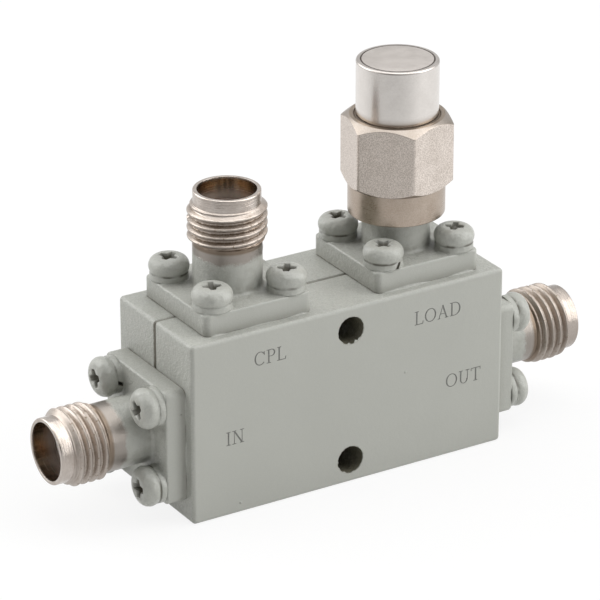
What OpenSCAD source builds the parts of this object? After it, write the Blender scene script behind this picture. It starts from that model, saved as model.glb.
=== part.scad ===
// Coaxial directional coupler: a split housing with a through line and a coupled line inside, three open
// threaded ports and a fourth port closed by a screwed-on matched load.
// The halves meet at y = 0, the through line runs along X and the base stands on z = 0.

/* [Housing] */
// Length of the housing along the through line
body_l = 28.8; // [28:0.1:40]
// Depth of the two halves together
body_d = 11.5; // [10.8:0.1:18]
// Height of the housing
body_h = 15.3; // [15:0.1:22]
// Rounding of the outer edges
edge_r = 0.35; // [0.1:0.05:0.8]
// Bevel of each half along the joint
seam_bevel = 0.2; // [0.05:0.05:0.3]
// Diameter of the two through mounting holes
mount_hole_d = 2.4; // [1.8:0.1:2.8]
// Distance between the mounting holes, one above the other
mount_hole_pitch = 11.3; // [11:0.1:11.6]

/* [Ports] */
// Height of the through line above the base
line_z = 6.55; // [6.2:0.05:6.9]
// Distance between the two ports on the top
top_port_pitch = 15.6; // [15:0.1:16.2]
// Length of each insulator inside the housing
launch_depth = 2.4; // [2:0.1:2.6]

/* [Port shells] */
// Width of the square flange
flange_w = 9.6; // [9.2:0.1:10]
// Thickness of the flange
flange_t = 1.75; // [1.4:0.05:2]
// Rounding of the flange corners
flange_corner_r = 0.55; // [0.2:0.05:1]
// Distance between neighbouring flange screws
flange_hole_pitch = 6.7; // [6.4:0.1:7]
// Rounding where the barrel meets the flange
barrel_fillet = 0.3; // [0.1:0.05:0.5]
// Diameter of the plain barrel
barrel_d = 5.5; // [5.3:0.1:6]
// Length of the plain barrel
barrel_l = 3.8; // [3.4:0.05:5]
// Outer diameter of the coupling thread
thread_d = 6.3; // [6.1:0.05:6.6]
// Length of the coupling thread
thread_l = 3.15; // [3:0.05:4]
// Bevel at each end of the thread
thread_bevel = 0.35; // [0.2:0.05:0.5]
// Diameter of the plain lead-in
lead_d = 5.36; // [5.2:0.02:5.6]
// Length of the plain lead-in
lead_l = 1.05; // [0.8:0.05:1.5]
// Rounding of the mouth's rim
rim_r = 0.1; // [0.05:0.01:0.15]
// Diameter of the mouth
mouth_d = 4.7; // [4.5:0.05:4.8]
// Depth of the mouth to the reference plane
mouth_depth = 1.9; // [1.6:0.05:2.2]

/* [Insulators and contacts] */
// Diameter of the insulators
insulator_d = 4.1; // [3.8:0.05:4.2]
// Diameter of the centre contacts
contact_d = 1.27; // [1.2:0.01:1.5]
// Diameter of the socket in a centre contact
socket_d = 0.96; // [0.94:0.01:1]
// Depth of that socket
socket_depth = 3; // [2.6:0.1:4]
// Width of the slots that make the socket springy
slot_w = 0.15; // [0.1:0.01:0.2]
// Height of the socket's solid foot, below its slots
socket_foot = 0.3; // [0.2:0.05:0.8]
// Diameter of the tail that lies on the strip
tail_d = 0.64; // [0.5:0.02:0.8]
// Length of the tail past the insulator
tail_l = 1.3; // [1:0.1:1.6]

/* [Flange screws] */
// Thread diameter
screw_d = 1.6; // [1.4:0.1:1.8]
// Length under the head
screw_l = 4; // [3.6:0.1:4.4]
// Head diameter
head_d = 3.26; // [3.1:0.02:3.5]
// Head height
head_h = 1.28; // [1.15:0.01:1.3]
// Height of the head's widest place
head_belly_h = 0.5; // [0.4:0.02:0.6]
// Width of the cross recess over its wings
recess_w = 1.6; // [1.2:0.05:1.8]
// Width of one wing of the cross recess
recess_wing = 0.36; // [0.3:0.02:0.5]
// Depth of the cross recess
recess_depth = 0.75; // [0.5:0.05:0.8]
// Outer diameter of the lock washers
washer_d = 3.1; // [2.9:0.05:3.5]
// Thickness of the lock washers
washer_t = 0.55; // [0.4:0.05:0.65]
// Width of the slit in a lock washer
washer_slit = 0.28; // [0.1:0.02:0.5]
// Slant of that slit, in degrees
slit_slant = 25; // [0:1:35]

/* [Cover screws] */
// Thread diameter
cover_screw_d = 1.6; // [1.4:0.1:1.8]
// Head diameter, level with the rear face
cover_head_d = 3; // [2.8:0.1:3.2]
// Length of the screws
cover_screw_l = 8.5; // [7:0.1:9.5]
// Distance between the cover screws along the length
cover_pitch_x = 21.2; // [20.8:0.1:21.6]
// Height of the lower cover screws above the base
cover_low_z = 2.2; // [1.9:0.1:2.4]
// Height of the upper cover screws above the base
cover_high_z = 11.1; // [10.9:0.1:11.4]

/* [Strips and boards] */
// Thickness of each dielectric board
board_t = 0.8; // [0.5:0.05:1.2]
// Thickness of the metal strips
strip_t = 0.1; // [0.05:0.01:0.2]
// Width of the strips
strip_w = 1.25; // [0.9:0.05:1.5]
// Gap between the two strips where they couple
strip_gap = 0.9; // [0.5:0.05:1.2]
// Height of the channel below and above the through line's axis
channel_half_h = 3.2; // [3:0.1:3.4]
// Width of the channel's two branches to the top ports
branch_w = 3; // [2.8:0.1:3.2]

/* [Matched load] */
// Diameter of the load's body
load_d = 6.6; // [6.5:0.05:6.8]
// Length of the load's body above its shoulder
load_l = 7.2; // [6.8:0.1:10]
// Rounding of the body's end
load_end_r = 0.25; // [0.1:0.05:0.3]
// Width across the flats of the nut
nut_af = 8; // [7.9:0.1:9]
// Turn of the nut about its axis
nut_turn = 15; // [0:1:59]
// Height of the nut's hexagon
nut_hex_l = 5.75; // [5.5:0.05:7]
// Diameter of the round collar below the hexagon
collar_d = 7.8; // [7.5:0.05:7.9]
// Height of that collar
collar_l = 2.5; // [1.8:0.1:2.6]
// How far the nut reaches past the shoulder of the load's body
nut_rear_l = 2.65; // [2.4:0.05:3]
// How far inside the flats the nut's bevel begins at its collar
nut_low_bevel = 0.05; // [0.02:0.01:0.08]
// How far inside the flats the nut's bevel begins at its outer end
nut_top_bevel = 0.2; // [0.1:0.05:0.3]
// Rise of the nut's bevels for each millimetre outwards
nut_bevel_slope = 0.75; // [0.4:0.05:1]
// Bevel of the collar's lower rim
collar_bevel = 0.12; // [0.05:0.01:0.2]
// Diameter of the disc let into the end
cap_d = 5.8; // [5.6:0.02:6.1]
// Thickness of that disc
cap_t = 0.9; // [0.6:0.05:1.2]
// Diameter of the male pin
pin_d = 0.92; // [0.9:0.01:0.92]
// Length of the male pin past the reference plane
pin_l = 2.3; // [1.8:0.1:2.4]
// Thickness of the face gasket
gasket_t = 0.4; // [0.3:0.05:0.6]
// Thickness of the nut's retaining ring
ring_t = 0.4; // [0.3:0.05:0.5]
// Depth of the retaining ring in the body's groove
ring_sunk = 0.3; // [0.2:0.05:0.4]
// Reach of the retaining ring into the nut's groove
ring_reach = 0.2; // [0.15:0.01:0.25]
// Opening of the retaining ring
ring_opening = 0.8; // [0.5:0.1:2]
// Height of the load's insulator above the shoulder
bead_rise = 2.16; // [1.8:0.02:2.6]
// Wall of the disc's stem round the resistor
stem_wall = 0.7; // [0.5:0.05:0.9]
// Length of the disc's stem
stem_l = 0.9; // [0.7:0.05:1.2]
// Depth of the resistor in that stem
resistor_sunk = 0.5; // [0.3:0.05:0.7]
// Diameter of the resistor rod
resistor_d = 1.6; // [1.4:0.1:1.8]

/* [Clearances] */
// Radial room of a piece held in a bore
fit_gap = 0.02; // [0.01:0.01:0.05]
// Radial room of a screw in a plain hole, and of the nut on the thread
free_gap = 0.1; // [0.06:0.01:0.15]
// Room of the nut around the load's body and below its shoulder
turn_gap = 0.16; // [0.1:0.01:0.18]
// Room left beyond the end of a screw in its hole
tip_gap = 0.5; // [0.3:0.1:0.6]
// Room round the boards in their channel
board_gap = 0.05; // [0.02:0.01:0.1]

/* [Hidden] */
$fn = 96;
tiny = 0.01;
// Overshoot of a cut past the face that it opens
past = 1;
PAINT = [0.66, 0.66, 0.63];
STEEL = [0.72, 0.68, 0.64];
GOLD = [0.83, 0.67, 0.35];
COPPER = [0.76, 0.48, 0.32];
PTFE = [0.94, 0.94, 0.92];
SILICONE = [0.62, 0.28, 0.22];
CERAMIC = [0.90, 0.88, 0.84];

// Heights along a port, from the housing face that the flange sits on
barrel_top = flange_t + barrel_l;
thread_top = barrel_top + thread_l;
mouth_top = thread_top + lead_l;
plane_h = mouth_top - mouth_depth;
seat_h = flange_t + washer_t;

// Heights along the load, from the same face
shoulder_h = mouth_top + gasket_t;
load_top = shoulder_h + load_l;
nut_top = shoulder_h + nut_rear_l;
hex_bottom = nut_top - nut_hex_l;
collar_bottom = hex_bottom - collar_l;
ring_h = shoulder_h + (nut_rear_l - ring_t) / 2;
bead_top = shoulder_h + bead_rise;
nut_bore_r = load_d / 2 + turn_gap;
ring_in_r = load_d / 2 - ring_sunk;
ring_out_r = nut_bore_r + ring_reach;
stem_d = resistor_d + 2 * stem_wall;
stem_bottom = load_top - cap_t - stem_l;
nut_low_bevel_r = nut_af / 2 - nut_low_bevel;
nut_top_bevel_r = nut_af / 2 - nut_top_bevel;

// Channel, boards and strips in the plane of the joint
channel_half_l = body_l / 2 - launch_depth;
channel_bottom = line_z - channel_half_h;
branch_top = body_h - launch_depth;
channel_depth = board_t + strip_t / 2;
coupled_z = line_z + strip_w + strip_gap;
notch_w = tail_d + 2 * free_gap;
notch_l = tail_l + 2 * free_gap;

screw_hole_r = screw_d / 2 + fit_gap;
screw_hole_l = screw_l - seat_h + tip_gap;
cover_cone_h = (cover_head_d - cover_screw_d) / 2;

// Turns of the cross recesses and of the washer slits, for the four screws of one flange
RECESS_TURNS = [[20, 65, 5, 40], [50, 10, 75, 30], [10, 30, 70, 55], [62, 25, 15, 48]];
SLIT_TURNS = [[262, 30, 330, 190], [75, 330, 210, 135], [45, 300, 240, 180], [90, 300, 109, 150]];

// Places of the four ports, with the port's axis as +Z and the joint across its Y
module at_input() { translate([-body_l / 2, 0, line_z]) rotate([0, -90, 0]) children(); }
module at_output() { translate([body_l / 2, 0, line_z]) rotate([0, 90, 0]) children(); }
module at_coupled() { translate([-top_port_pitch / 2, 0, body_h]) children(); }
module at_load_port() { translate([top_port_pitch / 2, 0, body_h]) children(); }

module at_each_port() {
    at_input() children();
    at_output() children();
    at_coupled() children();
    at_load_port() children();
}

module at_flange_screw(i) {
    rotate(90 * i) translate([flange_hole_pitch / 2, flange_hole_pitch / 2, 0]) children();
}

module at_cover_screws() {
    for (side = [-1, 1], z = [cover_low_z, cover_high_z])
        translate([side * cover_pitch_x / 2, body_d / 2, z]) rotate([90, 0, 0]) children();
}

// Rectangle with four round corners, from its corner at the origin
module round_rect(w, h, r) {
    translate([r, 0]) square([w - 2 * r, h]);
    translate([0, r]) square([w, h - 2 * r]);
    for (x = [r, w - r], y = [r, h - r])
        translate([x, y]) circle(r);
}

// Section of one half across the joint: bevelled at y = 0 and rounded at y = depth
module half_section(w, depth) {
    translate([edge_r, 0]) square([w - 2 * edge_r, depth]);
    translate([0, seam_bevel]) square([w, depth - edge_r - seam_bevel]);
    for (x = [edge_r, w - edge_r])
        translate([x, depth - edge_r]) circle(edge_r);
    for (x = [seam_bevel, w - seam_bevel])
        translate([x, seam_bevel]) rotate(45) square(seam_bevel * sqrt(2), center = true);
    translate([seam_bevel, 0]) square([w - 2 * seam_bevel, seam_bevel]);
}

// One half's block with every outer edge rounded and the joint's edge bevelled, on the +Y side
module half_block() {
    depth = body_d / 2;
    intersection() {
        translate([-body_l / 2, 0, 0]) linear_extrude(body_h) half_section(body_l, depth);
        translate([-body_l / 2, 0, 0]) rotate([90, 0, 90]) linear_extrude(body_l)
            rotate(90) mirror([0, 1]) half_section(body_h, depth);
        translate([-body_l / 2, depth, 0]) rotate([90, 0, 0]) linear_extrude(depth)
            round_rect(body_l, body_h, edge_r);
    }
}

// Outline of the channel in the joint plane, grown by a margin
module channel_outline(margin) {
    translate([-channel_half_l - margin, channel_bottom - margin])
        square([2 * (channel_half_l + margin), 2 * (channel_half_h + margin)]);
    for (side = [-1, 1])
        translate([side * top_port_pitch / 2 - branch_w / 2 - margin, line_z])
            square([branch_w + 2 * margin, branch_top - line_z + margin]);
}

// Extrudes a drawing of the XZ plane from y0 to y1
module in_joint_plane(y0, y1) {
    translate([0, y1, 0]) rotate([90, 0, 0]) linear_extrude(y1 - y0) children();
}

module mounting_holes() {
    for (side = [-1, 1])
        translate([0, 0, body_h / 2 + side * mount_hole_pitch / 2])
            rotate([90, 0, 0]) cylinder(d = mount_hole_d, h = body_d + 2 * past, center = true);
}

// What both halves lose: channel, port bores, tapped holes and mounting holes
module housing_cuts() {
    in_joint_plane(-channel_depth, channel_depth) channel_outline(0);
    mounting_holes();
    at_each_port() {
        translate([0, 0, -launch_depth]) cylinder(d = insulator_d + 2 * fit_gap, h = launch_depth + past);
        for (i = [0:3])
            at_flange_screw(i) translate([0, 0, -screw_hole_l])
                cylinder(r = screw_hole_r, h = screw_hole_l + past);
    }
}

module front_half() {
    color(PAINT) difference() {
        mirror([0, 1, 0]) half_block();
        housing_cuts();
        at_cover_screws() cylinder(d = cover_screw_d + 2 * fit_gap, h = cover_screw_l + tip_gap);
    }
}

module rear_half() {
    color(PAINT) difference() {
        half_block();
        housing_cuts();
        at_cover_screws() {
            cylinder(d = cover_screw_d + 2 * free_gap, h = body_d);
            cylinder(d1 = cover_head_d, d2 = cover_screw_d, h = cover_cone_h);
        }
    }
}

module front_board() {
    color(PTFE) in_joint_plane(-channel_depth, -strip_t / 2) channel_outline(-board_gap);
}

// The rear board leaves room over each contact's tail
module rear_board() {
    color(PTFE) in_joint_plane(strip_t / 2, channel_depth) difference() {
        channel_outline(-board_gap);
        for (side = [-1, 1]) {
            translate([side * channel_half_l, line_z]) square([2 * notch_l, notch_w], center = true);
            translate([side * top_port_pitch / 2, branch_top]) square([notch_w, 2 * notch_l], center = true);
        }
    }
}

module through_strip() {
    color(COPPER) in_joint_plane(-strip_t / 2, strip_t / 2)
        translate([-channel_half_l + board_gap, line_z - strip_w / 2])
            square([2 * (channel_half_l - board_gap), strip_w]);
}

// Runs beside the through strip and rises to the two top ports over mitred corners
module coupled_strip() {
    half_l = top_port_pitch / 2;
    color(COPPER) in_joint_plane(-strip_t / 2, strip_t / 2) {
        translate([-half_l, coupled_z - strip_w / 2]) square([2 * half_l, strip_w]);
        for (side = [-1, 1]) mirror([side < 0 ? 1 : 0, 0]) {
            translate([half_l - strip_w / 2, coupled_z])
                square([strip_w, branch_top - board_gap - coupled_z]);
            polygon([
                [half_l, coupled_z - strip_w / 2],
                [half_l + strip_w / 2, coupled_z],
                [half_l, coupled_z]
            ]);
        }
    }
}

module cross_recess(wings, wing, depth) {
    intersection() {
        union() {
            cube([wings, wing, 2 * depth], center = true);
            cube([wing, wings, 2 * depth], center = true);
        }
        translate([0, 0, -depth]) cylinder(d1 = wing, d2 = wings, h = depth + tiny);
    }
}

// Countersunk screw, its head's face at z = 0 and its point along +Z
module cover_screw() {
    difference() {
        union() {
            cylinder(d1 = cover_head_d - 2 * fit_gap, d2 = cover_screw_d, h = cover_cone_h - fit_gap);
            cylinder(d = cover_screw_d, h = cover_screw_l);
        }
        rotate([180, 0, 0]) cross_recess(recess_w, recess_wing, recess_depth);
    }
}

module cover_screws() {
    color(STEEL) at_cover_screws() cover_screw();
}

// Turned outline of a port above its flange, with the fillet, thread bevels and rounded rim
module shell_turning() {
    barrel_r = barrel_d / 2;
    thread_r = thread_d / 2;
    lead_r = lead_d / 2;
    rotate_extrude() difference() {
        union() {
            square([barrel_r, barrel_top + tiny]);
            translate([0, flange_t - tiny]) difference() {
                square([barrel_r + barrel_fillet, barrel_fillet + tiny]);
                translate([barrel_r + barrel_fillet, barrel_fillet + tiny]) circle(barrel_fillet);
            }
            polygon([
                [0, barrel_top],
                [barrel_r, barrel_top],
                [thread_r, barrel_top + thread_bevel],
                [thread_r, thread_top - thread_bevel],
                [lead_r, thread_top],
                [0, thread_top]
            ]);
            translate([0, thread_top - tiny]) square([lead_r, lead_l - rim_r + tiny]);
            translate([0, thread_top]) square([lead_r - rim_r, lead_l]);
            translate([lead_r - rim_r, mouth_top - rim_r]) circle(rim_r);
        }
        translate([0, -past]) square([insulator_d / 2 + fit_gap, mouth_top + 2 * past]);
        translate([0, plane_h]) square([mouth_d / 2, mouth_depth + past]);
    }
}

// Flange and barrel of one port, turned from one bar
module port_shell() {
    difference() {
        translate([-flange_w / 2, -flange_w / 2, 0]) linear_extrude(flange_t)
            round_rect(flange_w, flange_w, flange_corner_r);
        translate([0, 0, -past]) cylinder(d = insulator_d + 2 * fit_gap, h = flange_t + 2 * past);
        for (i = [0:3])
            at_flange_screw(i) translate([0, 0, -past])
                cylinder(d = screw_d + 2 * free_gap, h = flange_t + 2 * past);
    }
    difference() {
        shell_turning();
        translate([0, 0, -past]) cylinder(r = barrel_d, h = past + flange_t - tiny);
    }
}

module port_insulator() {
    difference() {
        translate([0, 0, -launch_depth]) cylinder(d = insulator_d, h = plane_h + launch_depth);
        translate([0, 0, -launch_depth - past])
            cylinder(d = contact_d + 2 * fit_gap, h = plane_h + launch_depth + 2 * past);
    }
}

// Slotted socket at the reference plane, and a flat tail that lies on the strip
module port_contact() {
    slot_l = socket_depth - socket_foot + past;
    difference() {
        translate([0, 0, -launch_depth]) cylinder(d = contact_d, h = plane_h + launch_depth);
        translate([0, 0, plane_h - socket_depth]) cylinder(d = socket_d, h = socket_depth + past);
        for (turn = [45, 135])
            translate([0, 0, plane_h + past - slot_l / 2]) rotate(turn)
                cube([contact_d + past, slot_w, slot_l], center = true);
    }
    intersection() {
        translate([0, 0, -launch_depth - tail_l]) cylinder(d = tail_d, h = tail_l + tiny);
        translate([-tail_d, strip_t / 2, -launch_depth - tail_l - past])
            cube([2 * tail_d, tail_d, tail_l + 2 * past]);
    }
}

// Pan head that bulges to its widest place and rounds over to a flat top, then the shank
module flange_screw(recess_turn) {
    corner_r = head_h - head_belly_h;
    difference() {
        union() {
            rotate_extrude() intersection() {
                square([head_d, head_h]);
                union() {
                    square([head_d / 2 - corner_r, head_h]);
                    translate([head_d / 2 - corner_r, head_belly_h]) circle(corner_r);
                }
            }
            translate([0, 0, -screw_l]) cylinder(d = screw_d, h = screw_l + tiny);
        }
        translate([0, 0, head_h]) rotate(recess_turn) cross_recess(recess_w, recess_wing, recess_depth);
    }
}

module flange_screws(turns) {
    color(PAINT) for (i = [0:3])
        at_flange_screw(i) translate([0, 0, seat_h]) flange_screw(turns[i]);
}

// Split spring washer, pressed flat, with its slit cut aslant
module lock_washer(turn) {
    rotate(turn) difference() {
        cylinder(d = washer_d, h = washer_t);
        translate([0, 0, -past]) cylinder(d = screw_d + 2 * free_gap, h = washer_t + 2 * past);
        translate([washer_d / 2, 0, washer_t / 2]) rotate([slit_slant, 0, 0])
            cube([washer_d, washer_slit, 4 * washer_t], center = true);
    }
}

module lock_washers(turns) {
    color(PAINT) for (i = [0:3])
        at_flange_screw(i) translate([0, 0, flange_t]) lock_washer(turns[i]);
}

module input_shell() { color(STEEL) at_input() port_shell(); }
module output_shell() { color(STEEL) at_output() port_shell(); }
module coupled_shell() { color(STEEL) at_coupled() port_shell(); }
module load_port_shell() { color(STEEL) at_load_port() port_shell(); }

module input_insulator() { color(PTFE) at_input() port_insulator(); }
module output_insulator() { color(PTFE) at_output() port_insulator(); }
module coupled_insulator() { color(PTFE) at_coupled() port_insulator(); }
module load_port_insulator() { color(PTFE) at_load_port() port_insulator(); }

module input_contact() { color(GOLD) at_input() port_contact(); }
module output_contact() { color(GOLD) at_output() port_contact(); }
module coupled_contact() { color(GOLD) at_coupled() port_contact(); }
module load_port_contact() { color(GOLD) at_load_port() port_contact(); }

module input_lock_washers() { at_input() lock_washers(SLIT_TURNS[0]); }
module output_lock_washers() { at_output() lock_washers(SLIT_TURNS[1]); }
module coupled_lock_washers() { at_coupled() lock_washers(SLIT_TURNS[2]); }
module load_port_lock_washers() { at_load_port() lock_washers(SLIT_TURNS[3]); }

module input_screws() { at_input() flange_screws(RECESS_TURNS[0]); }
module output_screws() { at_output() flange_screws(RECESS_TURNS[1]); }
module coupled_screws() { at_coupled() flange_screws(RECESS_TURNS[2]); }
module load_port_screws() { at_load_port() flange_screws(RECESS_TURNS[3]); }

// Turned body: a shroud that enters the port's mouth, a shoulder, a ring groove and a cup for the disc
module load_body() {
    load_r = load_d / 2;
    shroud_r = mouth_d / 2 - fit_gap;
    color(STEEL) at_load_port() rotate_extrude() difference() {
        union() {
            translate([0, plane_h]) square([shroud_r, shoulder_h - plane_h + tiny]);
            translate([0, shoulder_h]) square([load_r, load_l - load_end_r]);
            translate([0, shoulder_h]) square([load_r - load_end_r, load_l]);
            translate([load_r - load_end_r, load_top - load_end_r]) circle(load_end_r);
        }
        translate([0, plane_h - past]) square([insulator_d / 2 + fit_gap, bead_top - plane_h + past]);
        translate([0, bead_top - tiny]) square([stem_d / 2 + fit_gap, load_l]);
        translate([0, load_top - cap_t]) square([cap_d / 2 + fit_gap, cap_t + past]);
        translate([ring_in_r - fit_gap, ring_h]) square([load_r, ring_t + 2 * fit_gap]);
    }
}

// Disc let into the end, with a stem that takes the resistor's end
module load_end_cap() {
    color(STEEL) at_load_port() difference() {
        union() {
            translate([0, 0, load_top - cap_t]) cylinder(d = cap_d, h = cap_t);
            translate([0, 0, stem_bottom]) cylinder(d = stem_d, h = stem_l + tiny);
        }
        translate([0, 0, stem_bottom - past])
            cylinder(d = resistor_d + 2 * fit_gap, h = past + resistor_sunk);
    }
}

// Hexagon with both ends bevelled to a round, its collar, and the bores for the thread and the load's body
module load_nut() {
    hex_r = nut_af / 2 / cos(30);
    past_r = hex_r + past;
    color(STEEL) at_load_port() difference() {
        union() {
            intersection() {
                translate([0, 0, hex_bottom]) rotate(nut_turn) cylinder(r = hex_r, h = nut_hex_l, $fn = 6);
                rotate_extrude() polygon([
                    [0, hex_bottom],
                    [nut_low_bevel_r, hex_bottom],
                    [past_r, hex_bottom + nut_bevel_slope * (past_r - nut_low_bevel_r)],
                    [past_r, nut_top - nut_bevel_slope * (past_r - nut_top_bevel_r)],
                    [nut_top_bevel_r, nut_top],
                    [0, nut_top]
                ]);
            }
            translate([0, 0, collar_bottom])
                cylinder(d1 = collar_d - 2 * collar_bevel, d2 = collar_d, h = collar_bevel);
            translate([0, 0, collar_bottom + collar_bevel])
                cylinder(d = collar_d, h = collar_l - collar_bevel + tiny);
        }
        translate([0, 0, collar_bottom - past])
            cylinder(d = thread_d + 2 * free_gap, h = shoulder_h - collar_bottom + past);
        translate([0, 0, shoulder_h - turn_gap]) cylinder(r = nut_bore_r, h = nut_top);
        translate([0, 0, ring_h - fit_gap]) cylinder(r = ring_out_r + fit_gap, h = ring_t + fit_gap);
    }
}

// Open spring ring between the groove of the load's body and the groove of the nut
module load_retaining_ring() {
    color(STEEL) at_load_port() translate([0, 0, ring_h]) difference() {
        cylinder(r = ring_out_r, h = ring_t);
        translate([0, 0, -past]) cylinder(r = ring_in_r, h = ring_t + 2 * past);
        translate([ring_out_r, 0, 0]) cube([ring_out_r, ring_opening, 4 * ring_t], center = true);
    }
}

module load_gasket() {
    color(SILICONE) at_load_port() translate([0, 0, mouth_top]) difference() {
        cylinder(d = lead_d, h = gasket_t);
        translate([0, 0, -past]) cylinder(d = mouth_d + 2 * fit_gap, h = gasket_t + 2 * past);
    }
}

module load_insulator() {
    color(PTFE) at_load_port() difference() {
        translate([0, 0, plane_h]) cylinder(d = insulator_d, h = bead_top - plane_h);
        translate([0, 0, plane_h - past])
            cylinder(d = contact_d + 2 * fit_gap, h = bead_top - plane_h + 2 * past);
    }
}

// Male pin with a bevelled point below the reference plane
module load_pin() {
    point = pin_d / 4;
    color(GOLD) at_load_port() {
        translate([0, 0, plane_h]) cylinder(d = contact_d, h = bead_top - plane_h);
        translate([0, 0, plane_h - pin_l + point]) cylinder(d = pin_d, h = pin_l - point + tiny);
        translate([0, 0, plane_h - pin_l]) cylinder(d1 = pin_d - 2 * point, d2 = pin_d, h = point);
    }
}

module load_resistor() {
    color(CERAMIC) at_load_port() translate([0, 0, bead_top])
        cylinder(d = resistor_d, h = stem_bottom + resistor_sunk - bead_top);
}

front_half();
rear_half();
front_board();
rear_board();
through_strip();
coupled_strip();
cover_screws();
input_shell();
output_shell();
coupled_shell();
load_port_shell();
input_insulator();
output_insulator();
coupled_insulator();
load_port_insulator();
input_contact();
output_contact();
coupled_contact();
load_port_contact();
input_lock_washers();
output_lock_washers();
coupled_lock_washers();
load_port_lock_washers();
input_screws();
output_screws();
coupled_screws();
load_port_screws();
load_body();
load_end_cap();
load_nut();
load_retaining_ring();
load_gasket();
load_insulator();
load_pin();
load_resistor();
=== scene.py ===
import math

import bmesh
import bpy
import mathutils.noise
from mathutils import Matrix, Vector


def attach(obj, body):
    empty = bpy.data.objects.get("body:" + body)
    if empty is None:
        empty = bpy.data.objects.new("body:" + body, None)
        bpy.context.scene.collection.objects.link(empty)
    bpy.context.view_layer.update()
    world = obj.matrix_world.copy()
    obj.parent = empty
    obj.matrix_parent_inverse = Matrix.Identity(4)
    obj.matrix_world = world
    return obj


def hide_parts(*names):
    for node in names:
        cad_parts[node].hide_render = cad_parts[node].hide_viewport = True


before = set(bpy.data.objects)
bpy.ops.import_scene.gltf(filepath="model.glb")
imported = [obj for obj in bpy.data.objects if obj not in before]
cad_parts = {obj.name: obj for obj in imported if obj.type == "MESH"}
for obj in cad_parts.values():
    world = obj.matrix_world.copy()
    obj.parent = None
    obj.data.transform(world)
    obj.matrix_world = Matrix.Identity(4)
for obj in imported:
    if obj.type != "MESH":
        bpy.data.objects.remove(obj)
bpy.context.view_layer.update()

# Housing halves
# Two blocks of aluminium, milled out for the strips, screwed face to face and sprayed grey once everything is
# on them. The paint rounds the edges, breaks along the joint and stops raggedly at the two mounting holes.
MM = 0.001
BODY_L = 28.8 * MM
BODY_D = 11.5 * MM
BODY_H = 15.3 * MM
HOLE_R = 1.2 * MM
HOLE_HEIGHTS = (2.0 * MM, 13.3 * MM)
HOLE_PAINT_END = HOLE_R + 0.012 * MM
HOLE_BARE_START = HOLE_R + 0.004 * MM
EDGE_R = 0.35 * MM
JOINT_HALF_W = 0.17 * MM
SIDE_JOINT_HALF_W = 0.22 * MM
SHARP_ANGLE = math.radians(38)
WELD = 0.0005 * MM
SLIVER = 0.0002 * MM
TOLERANCE = 0.001 * MM
NEAR_ROUND = 0.002 * MM
NEAR_WALL = 0.005 * MM
PAINT_PEEL_DEPTH = 0.12 * MM
PAINT_COLOUR = (0.405, 0.41, 0.375)
# Bare metal of the mounting holes, coloured dark as painted shade
HOLE_WALL_SHADE_COLOUR = (0.17, 0.16, 0.12, 1)
# Dark colour of the joints, also used for the painted shade low on the flanges and round the barrels' feet
JOINT_DIRT_AND_SHADE_COLOUR = (0.15, 0.135, 0.105, 1)
# The core that the rounded skin of the closed housing stands off from
CORE_REACH = Vector((BODY_L / 2 - EDGE_R, BODY_D / 2 - EDGE_R, BODY_H / 2 - EDGE_R))
CORE_MIDDLE = Vector((0, 0, BODY_H / 2))


def put(tree, kind, inputs=None, **settings):
    """Adds a node, applies its settings, and fills its inputs with values or links them to other nodes."""
    node = tree.nodes.new(kind)
    for key, value in settings.items():
        setattr(node, key, value)
    for key, value in (inputs or {}).items():
        if isinstance(value, bpy.types.NodeSocket):
            tree.links.new(value, node.inputs[key])
        else:
            node.inputs[key].default_value = value
    return node


def calc(tree, operation, first, second=0.0, clamp=False):
    """One step of arithmetic in a node tree."""
    return put(tree, "ShaderNodeMath", {0: first, 1: second}, operation=operation, use_clamp=clamp).outputs[0]


def times(tree, first, second):
    """The product of two values."""
    return calc(tree, "MULTIPLY", first, second)


def plus(tree, first, second):
    """The sum of two values."""
    return calc(tree, "ADD", first, second)


def minus(tree, first, second):
    """The first value less the second."""
    return calc(tree, "SUBTRACT", first, second)


def left_over(tree, share):
    """What a share of 0 to 1 leaves."""
    return minus(tree, 1.0, share)


def ramp(tree, value, low, high):
    """A smooth step from 0 at low to 1 at high."""
    sockets = {"Value": value, "From Min": low, "From Max": high}
    return put(tree, "ShaderNodeMapRange", sockets, interpolation_type="SMOOTHSTEP").outputs["Result"]


def blend(tree, share, first, second):
    """A colour that goes from first to second."""
    return put(tree, "ShaderNodeMix", {0: share, 6: first, 7: second}, data_type="RGBA").outputs[2]


def axes(tree, vector):
    """The three parts of a vector."""
    return put(tree, "ShaderNodeSeparateXYZ", {0: vector}).outputs


def object_place(tree):
    """The point's place in the object's own frame."""
    return put(tree, "ShaderNodeTexCoord").outputs["Object"]


def noise(tree, place, scale, detail=2.0):
    """A cloudy value from 0 to 1, with this many clouds to the metre."""
    return put(tree, "ShaderNodeTexNoise", {"Vector": place, "Scale": scale, "Detail": detail}).outputs["Fac"]


def group_tree(name, kind, inputs, outputs):
    """A node group with named sockets, and its two end nodes."""
    tree = bpy.data.node_groups.new(name, kind)
    for in_out, sockets in (("INPUT", inputs), ("OUTPUT", outputs)):
        for socket_name, socket_type in sockets:
            tree.interface.new_socket(name=socket_name, in_out=in_out, socket_type=socket_type)
    return tree, tree.nodes.new("NodeGroupInput"), tree.nodes.new("NodeGroupOutput")


def skin_tree(name, *inputs):
    """A shader group that takes these values and puts out a colour, a roughness and a height."""
    outputs = [("Colour", "NodeSocketColor"), ("Roughness", "NodeSocketFloat"), ("Height", "NodeSocketFloat")]
    return group_tree(name, "ShaderNodeTree", [(value, "NodeSocketFloat") for value in inputs], outputs)


def wire(tree, node, **sockets):
    """Links sockets to a node's inputs; an underscore in a name stands for a space."""
    for name, socket in sockets.items():
        tree.links.new(socket, node.inputs[name.replace("_", " ")])


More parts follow.
